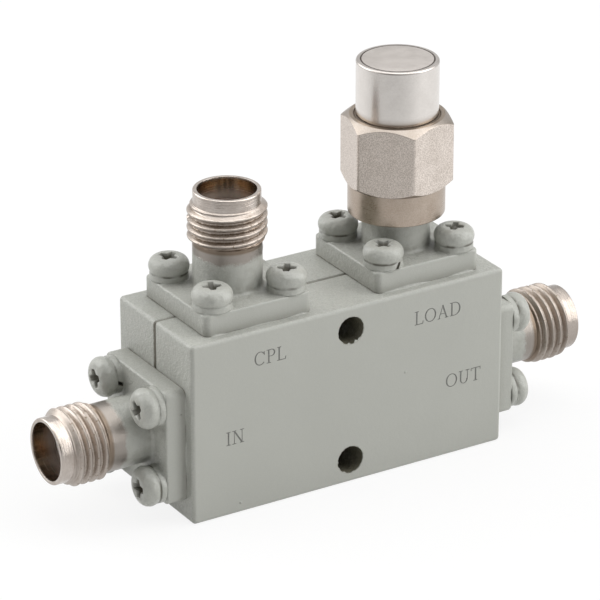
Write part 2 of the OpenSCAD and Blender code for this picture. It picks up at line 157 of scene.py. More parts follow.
def paint_skin_group():
    """Sprayed paint: fine grain, a slow drift of tone, and a few grains of dust under the film."""
    tree, given, made = skin_tree("paint_skin", "Grain")
    place = object_place(tree)
    peel = noise(tree, place, 2300)
    speck = noise(tree, place, 7500)
    drift = noise(tree, place, 130)
    cells = put(tree, "ShaderNodeTexVoronoi", {"Vector": place, "Scale": 210}).outputs["Distance"]
    dust = ramp(tree, cells, 0.035, 0.0)
    grain = given.outputs["Grain"]
    speck_tone = times(tree, minus(tree, speck, 0.5), times(tree, grain, 0.55))
    drift_tone = times(tree, minus(tree, drift, 0.5), 0.10)
    tone = plus(tree, plus(tree, speck_tone, drift_tone), 1.0)
    colour = put(tree, "ShaderNodeVectorMath", {0: PAINT_COLOUR, "Scale": tone}, operation="SCALE").outputs[0]
    rough = plus(tree, times(tree, peel, 0.14), 0.33)
    skin = plus(tree, times(tree, peel, 0.7), times(tree, speck, 0.4))
    height = plus(tree, times(tree, skin, grain), times(tree, dust, 0.8))
    wire(tree, made, Colour=colour, Roughness=rough, Height=height)
    return tree


paint_skin = paint_skin_group()


def new_material(name):
    """An empty node material with its output, and the shader that feeds it."""
    material = bpy.data.materials.new(name)
    material.use_nodes = True
    shader = material.node_tree.nodes["Principled BSDF"]
    return material, material.node_tree, shader


def paint_nodes(tree, grain):
    """Places the paint group in a material."""
    return put(tree, "ShaderNodeGroup", {"Grain": grain}, node_tree=paint_skin).outputs


def bump(tree, height, depth):
    """A normal that follows a height of 0 to 1 over this depth in metres."""
    sockets = {"Height": height, "Distance": depth, "Strength": 1.0}
    return put(tree, "ShaderNodeBump", sockets).outputs["Normal"]


def housing_paint():
    """Paint that is smoother on the broad faces, dark in the joint, and missing in the mounting holes, whose
    walls take painted shade.
    """
    material, tree, shader = new_material("housing_paint")
    where = put(tree, "ShaderNodeTexCoord").outputs
    facing = axes(tree, where["Normal"])
    broad = calc(tree, "POWER", calc(tree, "ABSOLUTE", facing["Y"]), 2.0)
    grain = left_over(tree, times(tree, broad, 0.88))
    paint = paint_nodes(tree, grain)
    x, y, z = axes(tree, where["Object"])
    ragged = noise(tree, where["Object"], 3200, 3.0)
    on_side = times(tree, calc(tree, "ABSOLUTE", facing["X"]), SIDE_JOINT_HALF_W - JOINT_HALF_W)
    joint_w = plus(tree, on_side, JOINT_HALF_W)
    joint_share = calc(tree, "DIVIDE", calc(tree, "ABSOLUTE", y), joint_w)
    joint_edge = minus(tree, joint_share, times(tree, ragged, 0.5))
    shown = plus(tree, times(tree, calc(tree, "ABSOLUTE", facing["X"]), 0.45), 0.55)
    joint = times(tree, ramp(tree, joint_edge, 0.95, 0.30), shown)
    bare = joint
    across = calc(tree, "POWER", x, 2.0)
    for height in HOLE_HEIGHTS:
        along = calc(tree, "POWER", minus(tree, z, height), 2.0)
        distance = calc(tree, "SQRT", plus(tree, across, along))
        hole = ramp(tree, distance, HOLE_PAINT_END, HOLE_BARE_START)
        bare = calc(tree, "MAXIMUM", bare, hole)
    dark = blend(tree, joint, HOLE_WALL_SHADE_COLOUR, JOINT_DIRT_AND_SHADE_COLOUR)
    colour = blend(tree, bare, paint["Colour"], dark)
    wire(tree, shader, Base_Color=colour, Roughness=paint["Roughness"])
    wire(tree, shader, Normal=bump(tree, paint["Height"], PAINT_PEEL_DEPTH))
    return material


def baked(piece):
    """The mesh of a piece with its modifiers in it. The piece itself is removed."""
    graph = bpy.context.evaluated_depsgraph_get()
    mesh = bpy.data.meshes.new_from_object(piece.evaluated_get(graph))
    bpy.data.objects.remove(piece)
    return mesh


def loose_object(name, mesh):
    """An object in the scene that holds this mesh."""
    piece = bpy.data.objects.new(name, mesh)
    bpy.context.scene.collection.objects.link(piece)
    return piece


def smooth(mesh):
    """Shades curved faces smooth and keeps sharp edges."""
    mesh.shade_smooth()
    mesh.set_sharp_from_angle(angle=SHARP_ANGLE)


def mesh_of(name, shape):
    """A mesh from a finished bmesh, with its normals turned outwards and its curved faces smooth."""
    mesh = bpy.data.meshes.new(name)
    bmesh.ops.recalc_face_normals(shape, faces=shape.faces)
    shape.to_mesh(mesh)
    shape.free()
    smooth(mesh)
    return mesh


def add_piece(name, mesh, nodes, even_flats=True):
    """A finished piece on the one body. Flat faces keep their own normals beside rounded edges."""
    piece = loose_object(name, mesh)
    if even_flats:
        flats = piece.modifiers.new("even_flats", "WEIGHTED_NORMAL")
        flats.keep_sharp = True
        flats.weight = 100
    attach(piece, "root")
    if nodes:
        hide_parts(*nodes)


def heal(shape):
    """Joins points that all but coincide and closes the slits that this leaves."""
    bmesh.ops.remove_doubles(shape, verts=shape.verts, dist=WELD)
    bmesh.ops.dissolve_degenerate(shape, edges=shape.edges, dist=SLIVER)
    slits = [edge for edge in shape.edges if edge.is_boundary]
    bmesh.ops.holes_fill(shape, edges=slits, sides=6)


def cut(name, mesh, cutter):
    """The mesh less a cutter mesh, whose faces bring their own material."""
    piece = loose_object(name, mesh)
    tool = loose_object(name + "_tool", cutter)
    step = piece.modifiers.new("cut", "BOOLEAN")
    step.operation = "DIFFERENCE"
    step.solver = "EXACT"
    step.use_self = True
    step.material_mode = "TRANSFER"
    step.object = tool
    result = baked(piece)
    bpy.data.objects.remove(tool)
    shape = bmesh.new()
    shape.from_mesh(result)
    heal(shape)
    shape.to_mesh(result)
    shape.free()
    return result


def core_spoke(place):
    """The way from the nearest point of the housing's core to a point of its skin."""
    offset = place - CORE_MIDDLE
    nearest = Vector([min(reach, max(-reach, share)) for reach, share in zip(CORE_REACH, offset)])
    return offset - nearest


def round_corners(shape):
    """Turns the outer corners of a half, where three rounded edges meet, into quarter balls."""
    for axis in range(3):
        for side in (-1, 1):
            level = CORE_MIDDLE.copy()
            level[axis] += side * CORE_REACH[axis]
            across = Vector((0, 0, 0))
            across[axis] = 1
            everything = shape.verts[:] + shape.edges[:] + shape.faces[:]
            bmesh.ops.bisect_plane(shape, geom=everything, plane_co=level, plane_no=across, dist=WELD)

    def past_corner(place):
        offset = place - CORE_MIDDLE
        return all(abs(offset[axis]) > CORE_REACH[axis] - TOLERANCE for axis in range(3))

    corner_edges = [edge for edge in shape.edges if all(past_corner(vertex.co) for vertex in edge.verts)]
    bmesh.ops.subdivide_edges(shape, edges=corner_edges, cuts=2, use_grid_fill=True)
    for vertex in shape.verts:
        spoke = core_spoke(vertex.co)
        if past_corner(vertex.co) and spoke.length > EDGE_R * 0.5:
            vertex.co += spoke.normalized() * (EDGE_R - spoke.length)


def skin_normals(mesh):
    """Gives a half exact normals: round on its outer edges and in its holes, and flat elsewhere."""
    normals = []
    for face in mesh.polygons:
        for index in face.vertices:
            place = mesh.vertices[index].co
            normal = face.normal.copy()
            spoke = core_spoke(place)
            if abs(spoke.length - EDGE_R) < NEAR_ROUND and normal.dot(spoke) > 0.6 * EDGE_R:
                normal = spoke.normalized()
            for height in HOLE_HEIGHTS:
                inwards = Vector((-place.x, 0, height - place.z))
                if abs(inwards.length - HOLE_R) < NEAR_WALL and normal.dot(inwards) > 0.9 * HOLE_R:
                    normal = inwards.normalized()
            normals.append(normal)
    mesh.normals_split_custom_set(normals)


def half_copy(node):
    """A copy of one half's mesh with its points joined and its outer corners rounded."""
    shape = bmesh.new()
    shape.from_mesh(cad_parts[node].data)
    bmesh.ops.remove_doubles(shape, verts=shape.verts, dist=WELD)
    round_corners(shape)
    heal(shape)
    mesh = mesh_of(node + "_mesh", shape)
    if "custom_normal" in mesh.attributes:
        mesh.attributes.remove(mesh.attributes["custom_normal"])
    mesh.materials.clear()
    return mesh


# Legend on the front face
# Plain words for the four ports in a thin roman letter, engraved 0.03 mm deep and filled with ink. Each
# letter is made of upright stems with feet, thin strokes, and bows that swell at their sides. Its sizes are
# shares of the capitals' height.
CAP_HEIGHT = 1.17 * MM
ENGRAVED_DEPTH = 0.03 * MM
STEM_W = 0.115
THIN_W = 0.055
FOOT_HALF_W = 0.16
LETTER_GAP = 0.12
SOFT_MARK_DEPTH = 0.01 * MM
INK_DARK = (0.12, 0.12, 0.111, 1)
INK_LIGHT = (0.25, 0.25, 0.234, 1)


def bar(x0, y0, x1, y1, width):
    """Straight stroke as one four-cornered outline."""
    run = Vector((x1 - x0, y1 - y0))
    side = Vector((-run.y, run.x)).normalized() * width / 2
    start = Vector((x0, y0))
    end = Vector((x1, y1))
    return [[start - side, end - side, end + side, start + side]]


def stem(x, low=0.0, width=STEM_W):
    """Upright stroke with a foot at each end of the letter's height that it reaches."""
    strokes = bar(x, low, x, 1.0, width)
    for end in (0.0, 1.0):
        if low <= end:
            level = abs(end - THIN_W / 2)
            strokes += bar(x - FOOT_HALF_W, level, x + FOOT_HALF_W, level, THIN_W)
    return strokes


def bow(x, y, half_w, half_h, start, end, steps=20):
    """Curved stroke, thin at its top and foot and swelling at its sides."""
    strokes = []
    outline = []
    for i in range(steps + 1):
        turn = math.radians(start + (end - start) * i / steps)
        swell = THIN_W + (STEM_W - THIN_W) * abs(math.cos(turn)) ** 2
        outer = Vector((x + half_w * math.cos(turn), y + half_h * math.sin(turn)))
        inner = Vector((x + (half_w - swell) * math.cos(turn), y + (half_h - swell) * math.sin(turn)))
        outline.append((outer, inner))
    for (outer, inner), (next_outer, next_inner) in zip(outline, outline[1:]):
        strokes.append([outer, next_outer, next_inner, inner])
    return strokes


LETTERS = {
    "A": (0.86, bar(0.10, 0.0, 0.43, 1.0, THIN_W) + bar(0.40, 1.0, 0.74, 0.0, STEM_W)
          + bar(0.22, 0.36, 0.62, 0.36, THIN_W) + bar(0.0, 0.03, 0.22, 0.03, THIN_W)
          + bar(0.58, 0.03, 0.88, 0.03, THIN_W)),
    "C": (0.82, bow(0.45, 0.5, 0.44, 0.5, 42, 318, 28) + bar(0.77, 0.70, 0.77, 0.96, THIN_W)),
    "D": (0.88, stem(0.17) + bow(0.40, 0.5, 0.47, 0.5, -90, 90) + bar(0.17, 0.03, 0.42, 0.03, THIN_W)
          + bar(0.17, 0.97, 0.42, 0.97, THIN_W)),
    "I": (0.34, stem(0.17)),
    "L": (0.70, stem(0.17) + bar(0.17, 0.03, 0.68, 0.03, THIN_W) + bar(0.66, 0.0, 0.69, 0.24, THIN_W)),
    "N": (0.90, stem(0.16, width=THIN_W) + stem(0.76, width=THIN_W) + bar(0.15, 0.98, 0.75, 0.03, STEM_W)),
    "O": (0.92, bow(0.46, 0.5, 0.46, 0.5, 0, 360, 36)),
    "P": (0.68, stem(0.17) + bow(0.38, 0.735, 0.29, 0.265, -90, 90) + bar(0.17, 0.97, 0.40, 0.97, THIN_W)
          + bar(0.17, 0.50, 0.40, 0.50, THIN_W)),
    "T": (0.80, stem(0.40) + bar(0.02, 0.97, 0.78, 0.97, THIN_W) + bar(0.03, 0.78, 0.03, 1.0, THIN_W)
          + bar(0.77, 0.78, 0.77, 1.0, THIN_W)),
    "U": (0.88, stem(0.17, low=0.33) + stem(0.73, low=0.33, width=THIN_W)
          + bow(0.435, 0.36, 0.323, 0.36, 180, 360)),
}
# Each word with the middle of its place and its foot line
WORDS = (
    ("IN", -10.6 * MM, 6.15 * MM),
    ("OUT", 10.65 * MM, 6.05 * MM),
    ("CPL", -7.4 * MM, 12.35 * MM),
    ("LOAD", 8.1 * MM, 12.3 * MM),
)


def clouded(name, first, second, clouds, roughness, marks=None):
    """A finish that goes from one colour to another in clouds, so many to the metre, marked or plain."""
    material, tree, shader = new_material(name)
    place = object_place(tree)
    wire(tree, shader, Base_Color=blend(tree, noise(tree, place, clouds), first, second))
    if marks:
        wire(tree, shader, Normal=bump(tree, noise(tree, place, marks), SOFT_MARK_DEPTH))
    shader.inputs["Roughness"].default_value = roughness
    return material


def legend_cutter():
    """The words as prisms that stand through the front face."""
    shape = bmesh.new()
    front = -BODY_D / 2
    for word, middle, foot in WORDS:
        word_w = sum(LETTERS[letter][0] for letter in word) + LETTER_GAP * (len(word) - 1)
        start = -word_w / 2
        for letter in word:
            advance, strokes = LETTERS[letter]
            for outline in strokes:
                corners = []
                for point in outline:
                    across = middle + (start + point.x) * CAP_HEIGHT
                    up = foot + point.y * CAP_HEIGHT
                    corners.append(shape.verts.new((across, front + ENGRAVED_DEPTH, up)))
                face = shape.faces.new(corners)
                wall = bmesh.ops.extrude_face_region(shape, geom=[face])
                moved = [item for item in wall["geom"] if isinstance(item, bmesh.types.BMVert)]
                bmesh.ops.translate(shape, verts=moved, vec=(0, -2 * ENGRAVED_DEPTH, 0))
            start += advance + LETTER_GAP
    return mesh_of("legend_cutter", shape)


housing_material = housing_paint()
front_mesh = half_copy("front_half")
front_mesh.materials.append(housing_material)
letters_mesh = legend_cutter()
letters_mesh.materials.append(clouded("legend_ink", INK_DARK, INK_LIGHT, clouds=9000, roughness=0.6))
front_mesh = cut("front_half_cut", front_mesh, letters_mesh)
skin_normals(front_mesh)
add_piece("painted_front_half", front_mesh, ["front_half"], even_flats=False)

rear_mesh = half_copy("rear_half")
rear_mesh.materials.append(housing_material)
skin_normals(rear_mesh)
add_piece("painted_rear_half", rear_mesh, ["rear_half"], even_flats=False)

# Paint burrs in the mounting holes
# The film was pushed into the holes when they were cleared, and a few flakes still stand in from the
# front rim.
# Painted shade for the screws' recesses, the washers' slit ends and the gaps under the heads
HOLLOW_SHADE_COLOUR = (0.075, 0.068, 0.047, 1)
BURR_STEPS = 144
BURR_T = 0.07 * MM
BURR_ROUGH = 0.022 * MM
BURR_SET_BACK = 0.006 * MM
BURR_ROOT = 0.015 * MM
# For each hole: the place of a flake round the rim in degrees, how far it stands in, and its half width
BURRS = (
    ((-118, 0.08, 14), (-150, 0.07, 10), (-75, 0.06, 14), (178, 0.10, 6)),
    ((-100, 0.16, 8), (-66, 0.26, 9), (-48, 0.10, 12), (-140, 0.07, 16)),
)


def burr_ring(shape, height, flakes):
    """A thin ragged ring just inside the front rim of one hole."""
    loops = []
    front = -BODY_D / 2 + BURR_SET_BACK
    for i in range(BURR_STEPS):
        turn = math.tau * i / BURR_STEPS
        reach = BURR_ROUGH * (1 + math.sin(7 * turn) * math.sin(11 * turn + height / MM))
        for place, size, half_w in flakes:
            off = (math.degrees(turn) - place + 180) % 360 - 180
            reach += size * MM * max(0.0, 1 - abs(off) / half_w)
        across = Vector((math.cos(turn), 0, math.sin(turn)))
        middle = Vector((0, front, height))
        outer = middle + across * (HOLE_R + BURR_ROOT)
        inner = middle + across * (HOLE_R - reach)
        depth = Vector((0, BURR_T, 0))
        loops.append([shape.verts.new(p) for p in (outer, inner, inner + depth, outer + depth)])
    for loop, following in zip(loops, loops[1:] + loops[:1]):
        for j in range(4):
            k = (j + 1) % 4
            shape.faces.new((loop[j], following[j], following[k], loop[k]))


burr_shape = bmesh.new()
for hole_height, hole_flakes in zip(HOLE_HEIGHTS, BURRS):
    burr_ring(burr_shape, hole_height, hole_flakes)
burr_mesh = mesh_of("hole_burrs", burr_shape)


def attribute(tree, name):
    """A value stored on the piece's own points."""
    return put(tree, "ShaderNodeAttribute", attribute_name=name).outputs["Fac"]


def fixings_finish():
    """Paint on the small pieces, with painted shade in the hollows and, in patches, in the gaps that it
    didn't fill.
    """
    material, tree, shader = new_material("fixings_paint")
    place = object_place(tree)
    paint = paint_nodes(tree, 0.5)
    patch = ramp(tree, noise(tree, place, 750), 0.42, 0.62)
    thin = plus(tree, times(tree, patch, 0.15), 0.85)
    # Painted shade: deep in the recesses and slits, and in patches in the gaps between head and washer
    hollow = times(tree, attribute(tree, "hollow"), thin)
    unfilled_gap_shade = plus(tree, times(tree, patch, 0.75), 0.15)
    gap = times(tree, attribute(tree, "gap"), unfilled_gap_shade)
    colour = blend(tree, calc(tree, "MAXIMUM", hollow, gap), paint["Colour"], HOLLOW_SHADE_COLOUR)
    lumps = times(tree, noise(tree, place, 900), 1.7)
    gloss = times(tree, paint["Roughness"], 0.8)
    wire(tree, shader, Base_Color=colour, Roughness=gloss)
    wire(tree, shader, Normal=bump(tree, plus(tree, paint["Height"], lumps), PAINT_PEEL_DEPTH))
    return material


fixings_paint = fixings_finish()
burr_mesh.materials.append(fixings_paint)
add_piece("hole_paint_burrs", burr_mesh, [])

# Boards and strips
# Two sheets of filled fluoropolymer hold a pair of etched copper strips in the channel between the halves.
# They are closed in, so they keep their solids and take only a finish.


def milky_plastic(name, light, dark):
    """Waxy white plastic with slow clouds in it and fine tool marks."""
    material = clouded(name, light, dark, clouds=400, roughness=0.45, marks=6000)
    shader = material.node_tree.nodes["Principled BSDF"]
    shader.inputs["Subsurface Weight"].default_value = 0.1
    shader.inputs["Subsurface Scale"].default_value = 0.5 * MM
    return material


def plated(name, light, dark, roughness):
    """Plated or rolled metal, a little uneven in tone and with fine marks."""
    material, tree, shader = new_material(name)
    place = object_place(tree)
    uneven = noise(tree, place, 1500, 4.0)
    marks = noise(tree, place, 12000)
    wire(tree, shader, Base_Color=blend(tree, uneven, light, dark))
    wire(tree, shader, Roughness=plus(tree, times(tree, uneven, 0.15), roughness))
    wire(tree, shader, Normal=bump(tree, marks, 0.004 * MM))
    shader.inputs["Metallic"].default_value = 1.0
    return material


def dress(material, *nodes):
    """Gives CAD nodes that stay as they are their finish."""
    for name in nodes:
        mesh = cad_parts[name].data
        mesh.materials.clear()
        mesh.materials.append(material)


insulator_white = milky_plastic("insulator_white", (0.80, 0.79, 0.75, 1), (0.70, 0.69, 0.65, 1))
strip_copper = plated("strip_copper", (0.72, 0.36, 0.20, 1), (0.58, 0.27, 0.15, 1), 0.25)
dress(insulator_white, "front_board", "rear_board")
dress(strip_copper, "through_strip", "coupled_strip")

# Cover screws
# Four countersunk screws from the rear pull the halves together, their heads level with the face and painted
# over with it. Each has a cross recess, turned as it happened to stop.
COVER_PITCH_X = 21.2 * MM
COVER_LOW = 2.2 * MM
COVER_HIGH = 11.1 * MM
COVER_HEAD_R = 1.48 * MM
COVER_SHANK_R = 0.8 * MM
COVER_CONE_H = 0.68 * MM
COVER_SCREW_L = 8.5 * MM
COVER_RECESS_TURNS = (12, 71, 38, 55)
COVER_RECESS_SHADE = 0.4 * MM
SHANK_END_R = 0.15 * MM
RECESS_R = 0.83 * MM
RECESS_WAIST = 1.5
# Depth below the head's top, reach and half width of the cross, which flares softly to its rim
RECESS_LEVELS = (
    (0.75 * MM, 0.16 * MM, 0.10 * MM),
    (0.30 * MM, 0.58 * MM, 0.16 * MM),
    (0.10 * MM, 0.74 * MM, 0.195 * MM),
    (0.05 * MM, 0.757 * MM, 0.212 * MM),
    (0.015 * MM, 0.785 * MM, 0.24 * MM),
    (0.0, 0.82 * MM, 0.275 * MM),
    (-0.1 * MM, 0.95 * MM, 0.40 * MM),
)
TURNED_STEPS = 96


def rounded(points, steps=5):
    """An open profile of (radius, height, rounding) points with its corners turned into arcs."""
    profile = []
    for i, (r, z, rounding) in enumerate(points):
        corner = Vector((r, z))
        if rounding == 0 or i in (0, len(points) - 1):
            profile.append((r, z))
            continue
        back = (Vector(points[i - 1][:2]) - corner).normalized()
        ahead = (Vector(points[i + 1][:2]) - corner).normalized()
        half = back.angle(ahead) / 2
        reach = rounding / math.tan(half)
        centre = corner + (back + ahead).normalized() * rounding / math.sin(half)
        first = corner + back * reach - centre
        last = corner + ahead * reach - centre
        sweep = first.angle_signed(last)
        for j in range(steps + 1):
            spoke = first.copy()
            spoke.rotate(Matrix.Rotation(-sweep * j / steps, 2))
            profile.append(tuple(centre + spoke))
    return profile


def turn_rings(shape, profile_at, angles):
    """Rings of vertices for a profile of (radius, height) points turned about Z, with walls between them."""
    columns = []
    on_axis = {}
    for angle in angles:
        column = []
        for i, (r, z) in enumerate(profile_at(angle)):
            if r > 0:
                column.append(shape.verts.new((r * math.cos(angle), r * math.sin(angle), z)))
                continue
            if i not in on_axis:
                on_axis[i] = shape.verts.new((0, 0, z))
            column.append(on_axis[i])
        columns.append(column)
    for column, following in zip(columns, columns[1:] + columns[:1]):
        for j in range(len(column) - 1):
            corners = []
            for vertex in (column[j], following[j], following[j + 1], column[j + 1]):
                if vertex not in corners:
                    corners.append(vertex)
            if len(corners) > 2:
                shape.faces.new(corners)
    return columns


def even_angles(steps):
    """Angles spread evenly round a turn."""
    return [math.tau * i / steps for i in range(steps)]


def turned_mesh(name, profile, steps=TURNED_STEPS):
    """A turned piece whose profile starts and ends on the axis."""
    shape = bmesh.new()
    turn_rings(shape, lambda angle: profile, even_angles(steps))
    return mesh_of(name, shape)


def closed_ring_mesh(name, profile_at, angles):
    """A turned piece with a bore, whose profile runs once round its section."""
    shape = bmesh.new()
    columns = turn_rings(shape, profile_at, angles)
    for column, following in zip(columns, columns[1:] + columns[:1]):
        shape.faces.new((column[-1], following[-1], following[0], column[0]))
    return mesh_of(name, shape)


def skin_loops(shape, loops):
    """Walls between loops that have as many vertices each."""
    for loop, above in zip(loops, loops[1:]):
        for j in range(len(loop)):
            k = (j + 1) % len(loop)
            shape.faces.new((loop[j], loop[k], above[k], above[j]))


def recess_cutter(name, top):
    """Tapered cross that a driver bit fits, standing through the head's top."""
    shape = bmesh.new()
    rings = []
    for depth, reach, wing in RECESS_LEVELS:
        z = top - depth
        waist = wing * RECESS_WAIST
        ring = []
        for quarter in range(4):
            spin = Matrix.Rotation(math.radians(90 * quarter), 3, "Z")
            for point in ((reach, -wing, z), (reach, wing, z), (waist, waist, z)):
                ring.append(shape.verts.new(spin @ Vector(point)))
        rings.append(ring)
    skin_loops(shape, rings)
    shape.faces.new(rings[0])
    shape.faces.new(rings[-1])
    return mesh_of(name, shape)


def recessed_screw(name, profile, top, steps=TURNED_STEPS):
    """A turned screw with the cross recess cut into its head."""
    screw = cut(name, turned_mesh(name, profile, steps), recess_cutter(name + "_recess", top))
    smooth(screw)
    return screw


def shaping_tree(name, sizes):
    """A geometry node tree that takes a geometry, named sizes and a material, and its two end nodes."""
    inputs = [("Geometry", "NodeSocketGeometry")]
    inputs += [(size, "NodeSocketFloat") for size in sizes]
    inputs += [("Material", "NodeSocketMaterial")]
    return group_tree(name, "GeometryNodeTree", inputs, [("Geometry", "NodeSocketGeometry")])


def end_tree(tree, given, made, shaped):
    """Turns a tree's instances into plain faces, gives them the material and puts them out."""
    whole = put(tree, "GeometryNodeRealizeInstances", {"Geometry": shaped}).outputs[0]
    finish = {"Geometry": whole, "Material": given.outputs["Material"]}
    finished = put(tree, "GeometryNodeSetMaterial", finish).outputs[0]
    tree.links.new(finished, made.inputs["Geometry"])


def fixings_tree():
    """Places one piece at the four corners of a rectangle, each turned by its own angle."""
    names = ["Pitch X", "Pitch Y", "Height"] + [f"Turn {i}" for i in range(4)]
    tree, given, made = shaping_tree("four_fixings", names)
    sizes = {"Size X": given.outputs["Pitch X"], "Size Y": given.outputs["Pitch Y"]}
    sizes.update({"Vertices X": 2, "Vertices Y": 2})
    corners = put(tree, "GeometryNodeMeshGrid", sizes).outputs["Mesh"]
    lift = put(tree, "ShaderNodeCombineXYZ", {"Z": given.outputs["Height"]}).outputs[0]
    raised = put(tree, "GeometryNodeSetPosition", {"Geometry": corners, "Offset": lift}).outputs[0]
    choice = put(tree, "GeometryNodeIndexSwitch", data_type="FLOAT")
    choice.index_switch_items.new()
    choice.index_switch_items.new()
    tree.links.new(put(tree, "GeometryNodeInputIndex").outputs[0], choice.inputs[0])
    for i in range(4):
        tree.links.new(given.outputs[f"Turn {i}"], choice.inputs[i + 1])
    spin = put(tree, "ShaderNodeCombineXYZ", {"Z": choice.outputs[0]}).outputs[0]
    placing = {"Points": raised, "Instance": given.outputs["Geometry"], "Rotation": spin}
    placed = put(tree, "GeometryNodeInstanceOnPoints", placing).outputs[0]
    end_tree(tree, given, made, placed)
    return tree


def add_nodes_modifier(piece, tree, values):
    """Puts a geometry node tree on a piece and sets its inputs by their names in the tree's interface."""
    modifier = piece.modifiers.new(tree.name, "NODES")
    modifier.node_group = tree
    for item in tree.interface.items_tree:
        if item.in_out == "INPUT" and item.name in values:
            modifier[item.identifier] = values[item.name]


four_fixings = fixings_tree()


def mark_points(mesh, name, value_at):
    """Stores a value from 0 to 1 on each point of a piece, from the point's own place."""
    values = mesh.attributes.new(name, "FLOAT", "POINT")
    for vertex, value in zip(mesh.vertices, values.data):
        value.value = min(1.0, max(0.0, value_at(vertex.co)))


def set_of_four(name, mesh, pitch_x, pitch_y, height, turns, material, place):
    """Four copies of a small piece, as one plain mesh in the object's frame."""
    piece = loose_object(name, mesh)
    values = {"Pitch X": pitch_x, "Pitch Y": pitch_y, "Height": height, "Material": material}
    values.update({f"Turn {i}": math.radians(turn) for i, turn in enumerate(turns)})
    add_nodes_modifier(piece, four_fixings, values)
    result = baked(piece)
    result.transform(place)
    return result


cover_profile = rounded([
    (0, -COVER_SCREW_L, 0), (COVER_SHANK_R, -COVER_SCREW_L, SHANK_END_R),
    (COVER_SHANK_R, -COVER_CONE_H, 0.05 * MM), (COVER_HEAD_R, 0, 0.03 * MM), (0, 0, 0)])
cover_screw = recessed_screw("cover_screw", cover_profile, 0.0)
# The recess takes painted shade, darker with depth
mark_points(cover_screw, "hollow", lambda p: -p.z / COVER_RECESS_SHADE if p.xy.length < RECESS_R else 0.0)
cover_place = (Matrix.Translation((0, BODY_D / 2, (COVER_LOW + COVER_HIGH) / 2))
               @ Matrix.Rotation(math.radians(-90), 4, "X"))
cover_set = set_of_four("cover_set", cover_screw, COVER_PITCH_X, COVER_HIGH - COVER_LOW, 0.0,
                        COVER_RECESS_TURNS, fixings_paint, cover_place)
add_piece("painted_cover_screws", cover_set, ["cover_screws"])

# Port shells
# Each port is one turned stainless piece: square flange, barrel, rolled thread, plain lead-in and
# counterbored mouth. They were sprayed on the housing with the threads masked, so the paint ends part way
# up the barrel.
LINE_Z = 6.55 * MM
TOP_PORT_X = 7.8 * MM
FLANGE_HALF = 4.8 * MM
FLANGE_T = 1.75 * MM
FLANGE_CORNER_R = 0.55 * MM
FLANGE_CORNER_STEPS = 8
FLANGE_EDGE_R = 0.17 * MM
FLANGE_FOOT_R = 0.06 * MM
FIXING_PITCH = 6.7 * MM
FIXING_HOLE_R = 0.9 * MM
FIXING_HOLE_STEPS = 32
BORE_R = 2.07 * MM
MOUTH_R = 2.35 * MM
PLANE_H = 7.85 * MM
MOUTH_TOP = 9.75 * MM
MOUTH_EDGE_R = 0.03 * MM
MOUTH_BAND = 0.2 * MM
LEAD_R = 2.68 * MM
RIM_R = 0.1 * MM
THREAD_TOP = 8.70 * MM
THREAD_START = 5.55 * MM
THREAD_PITCH = 0.7056 * MM
THREAD_CREST_R = 3.15 * MM
THREAD_ROOT_R = 2.78 * MM
THREAD_BEVEL = 0.35 * MM
BARREL_R = 2.75 * MM
BARREL_FILLET = 0.3 * MM
SHELL_STEPS = 160
THREAD_ROWS = 108
QUARTER_TURN = math.radians(90)
PORT_PLACES = {
    "input": Matrix.Translation((-BODY_L / 2, 0, LINE_Z)) @ Matrix.Rotation(-QUARTER_TURN, 4, "Y"),
    "output": Matrix.Translation((BODY_L / 2, 0, LINE_Z)) @ Matrix.Rotation(QUARTER_TURN, 4, "Y"),
    "coupled": Matrix.Translation((-TOP_PORT_X, 0, BODY_H)),
    "load_port": Matrix.Translation((TOP_PORT_X, 0, BODY_H)),
}
# How high the paint reaches on each barrel, and each thread's start round the barrel, dirt and painted shade
# in its grooves, and tarnish
PAINT_LINES = {"input": 4.15 * MM, "output": 4.4 * MM, "coupled": 4.4 * MM, "load_port": 5.7 * MM}
THREAD_TURNS = {"input": 0.30, "output": 0.62, "coupled": 0.46, "load_port": 0.0}
THREAD_DIRT_AND_SHADE = {"input": 0.56, "output": 0.54, "coupled": 1.0, "load_port": 0.6}
TARNISH = {"input": 0.15, "output": 0.55, "coupled": 0.0, "load_port": 0.2}


def rounded_square(shape, half, radius, z):
    """One loop of vertices round a square with round corners."""
    loop = []
    for quarter in range(4):
        for i in range(FLANGE_CORNER_STEPS + 1):
            turn = math.radians(90 * quarter + 90 * i / FLANGE_CORNER_STEPS)
            middle = math.radians(90 * quarter + 45)
            offset = math.sqrt(2) * (half - radius)
            across = Vector((math.cos(middle), math.sin(middle))) * offset
            across += Vector((math.cos(turn), math.sin(turn))) * radius
            loop.append(shape.verts.new((across.x, across.y, z)))
    return loop


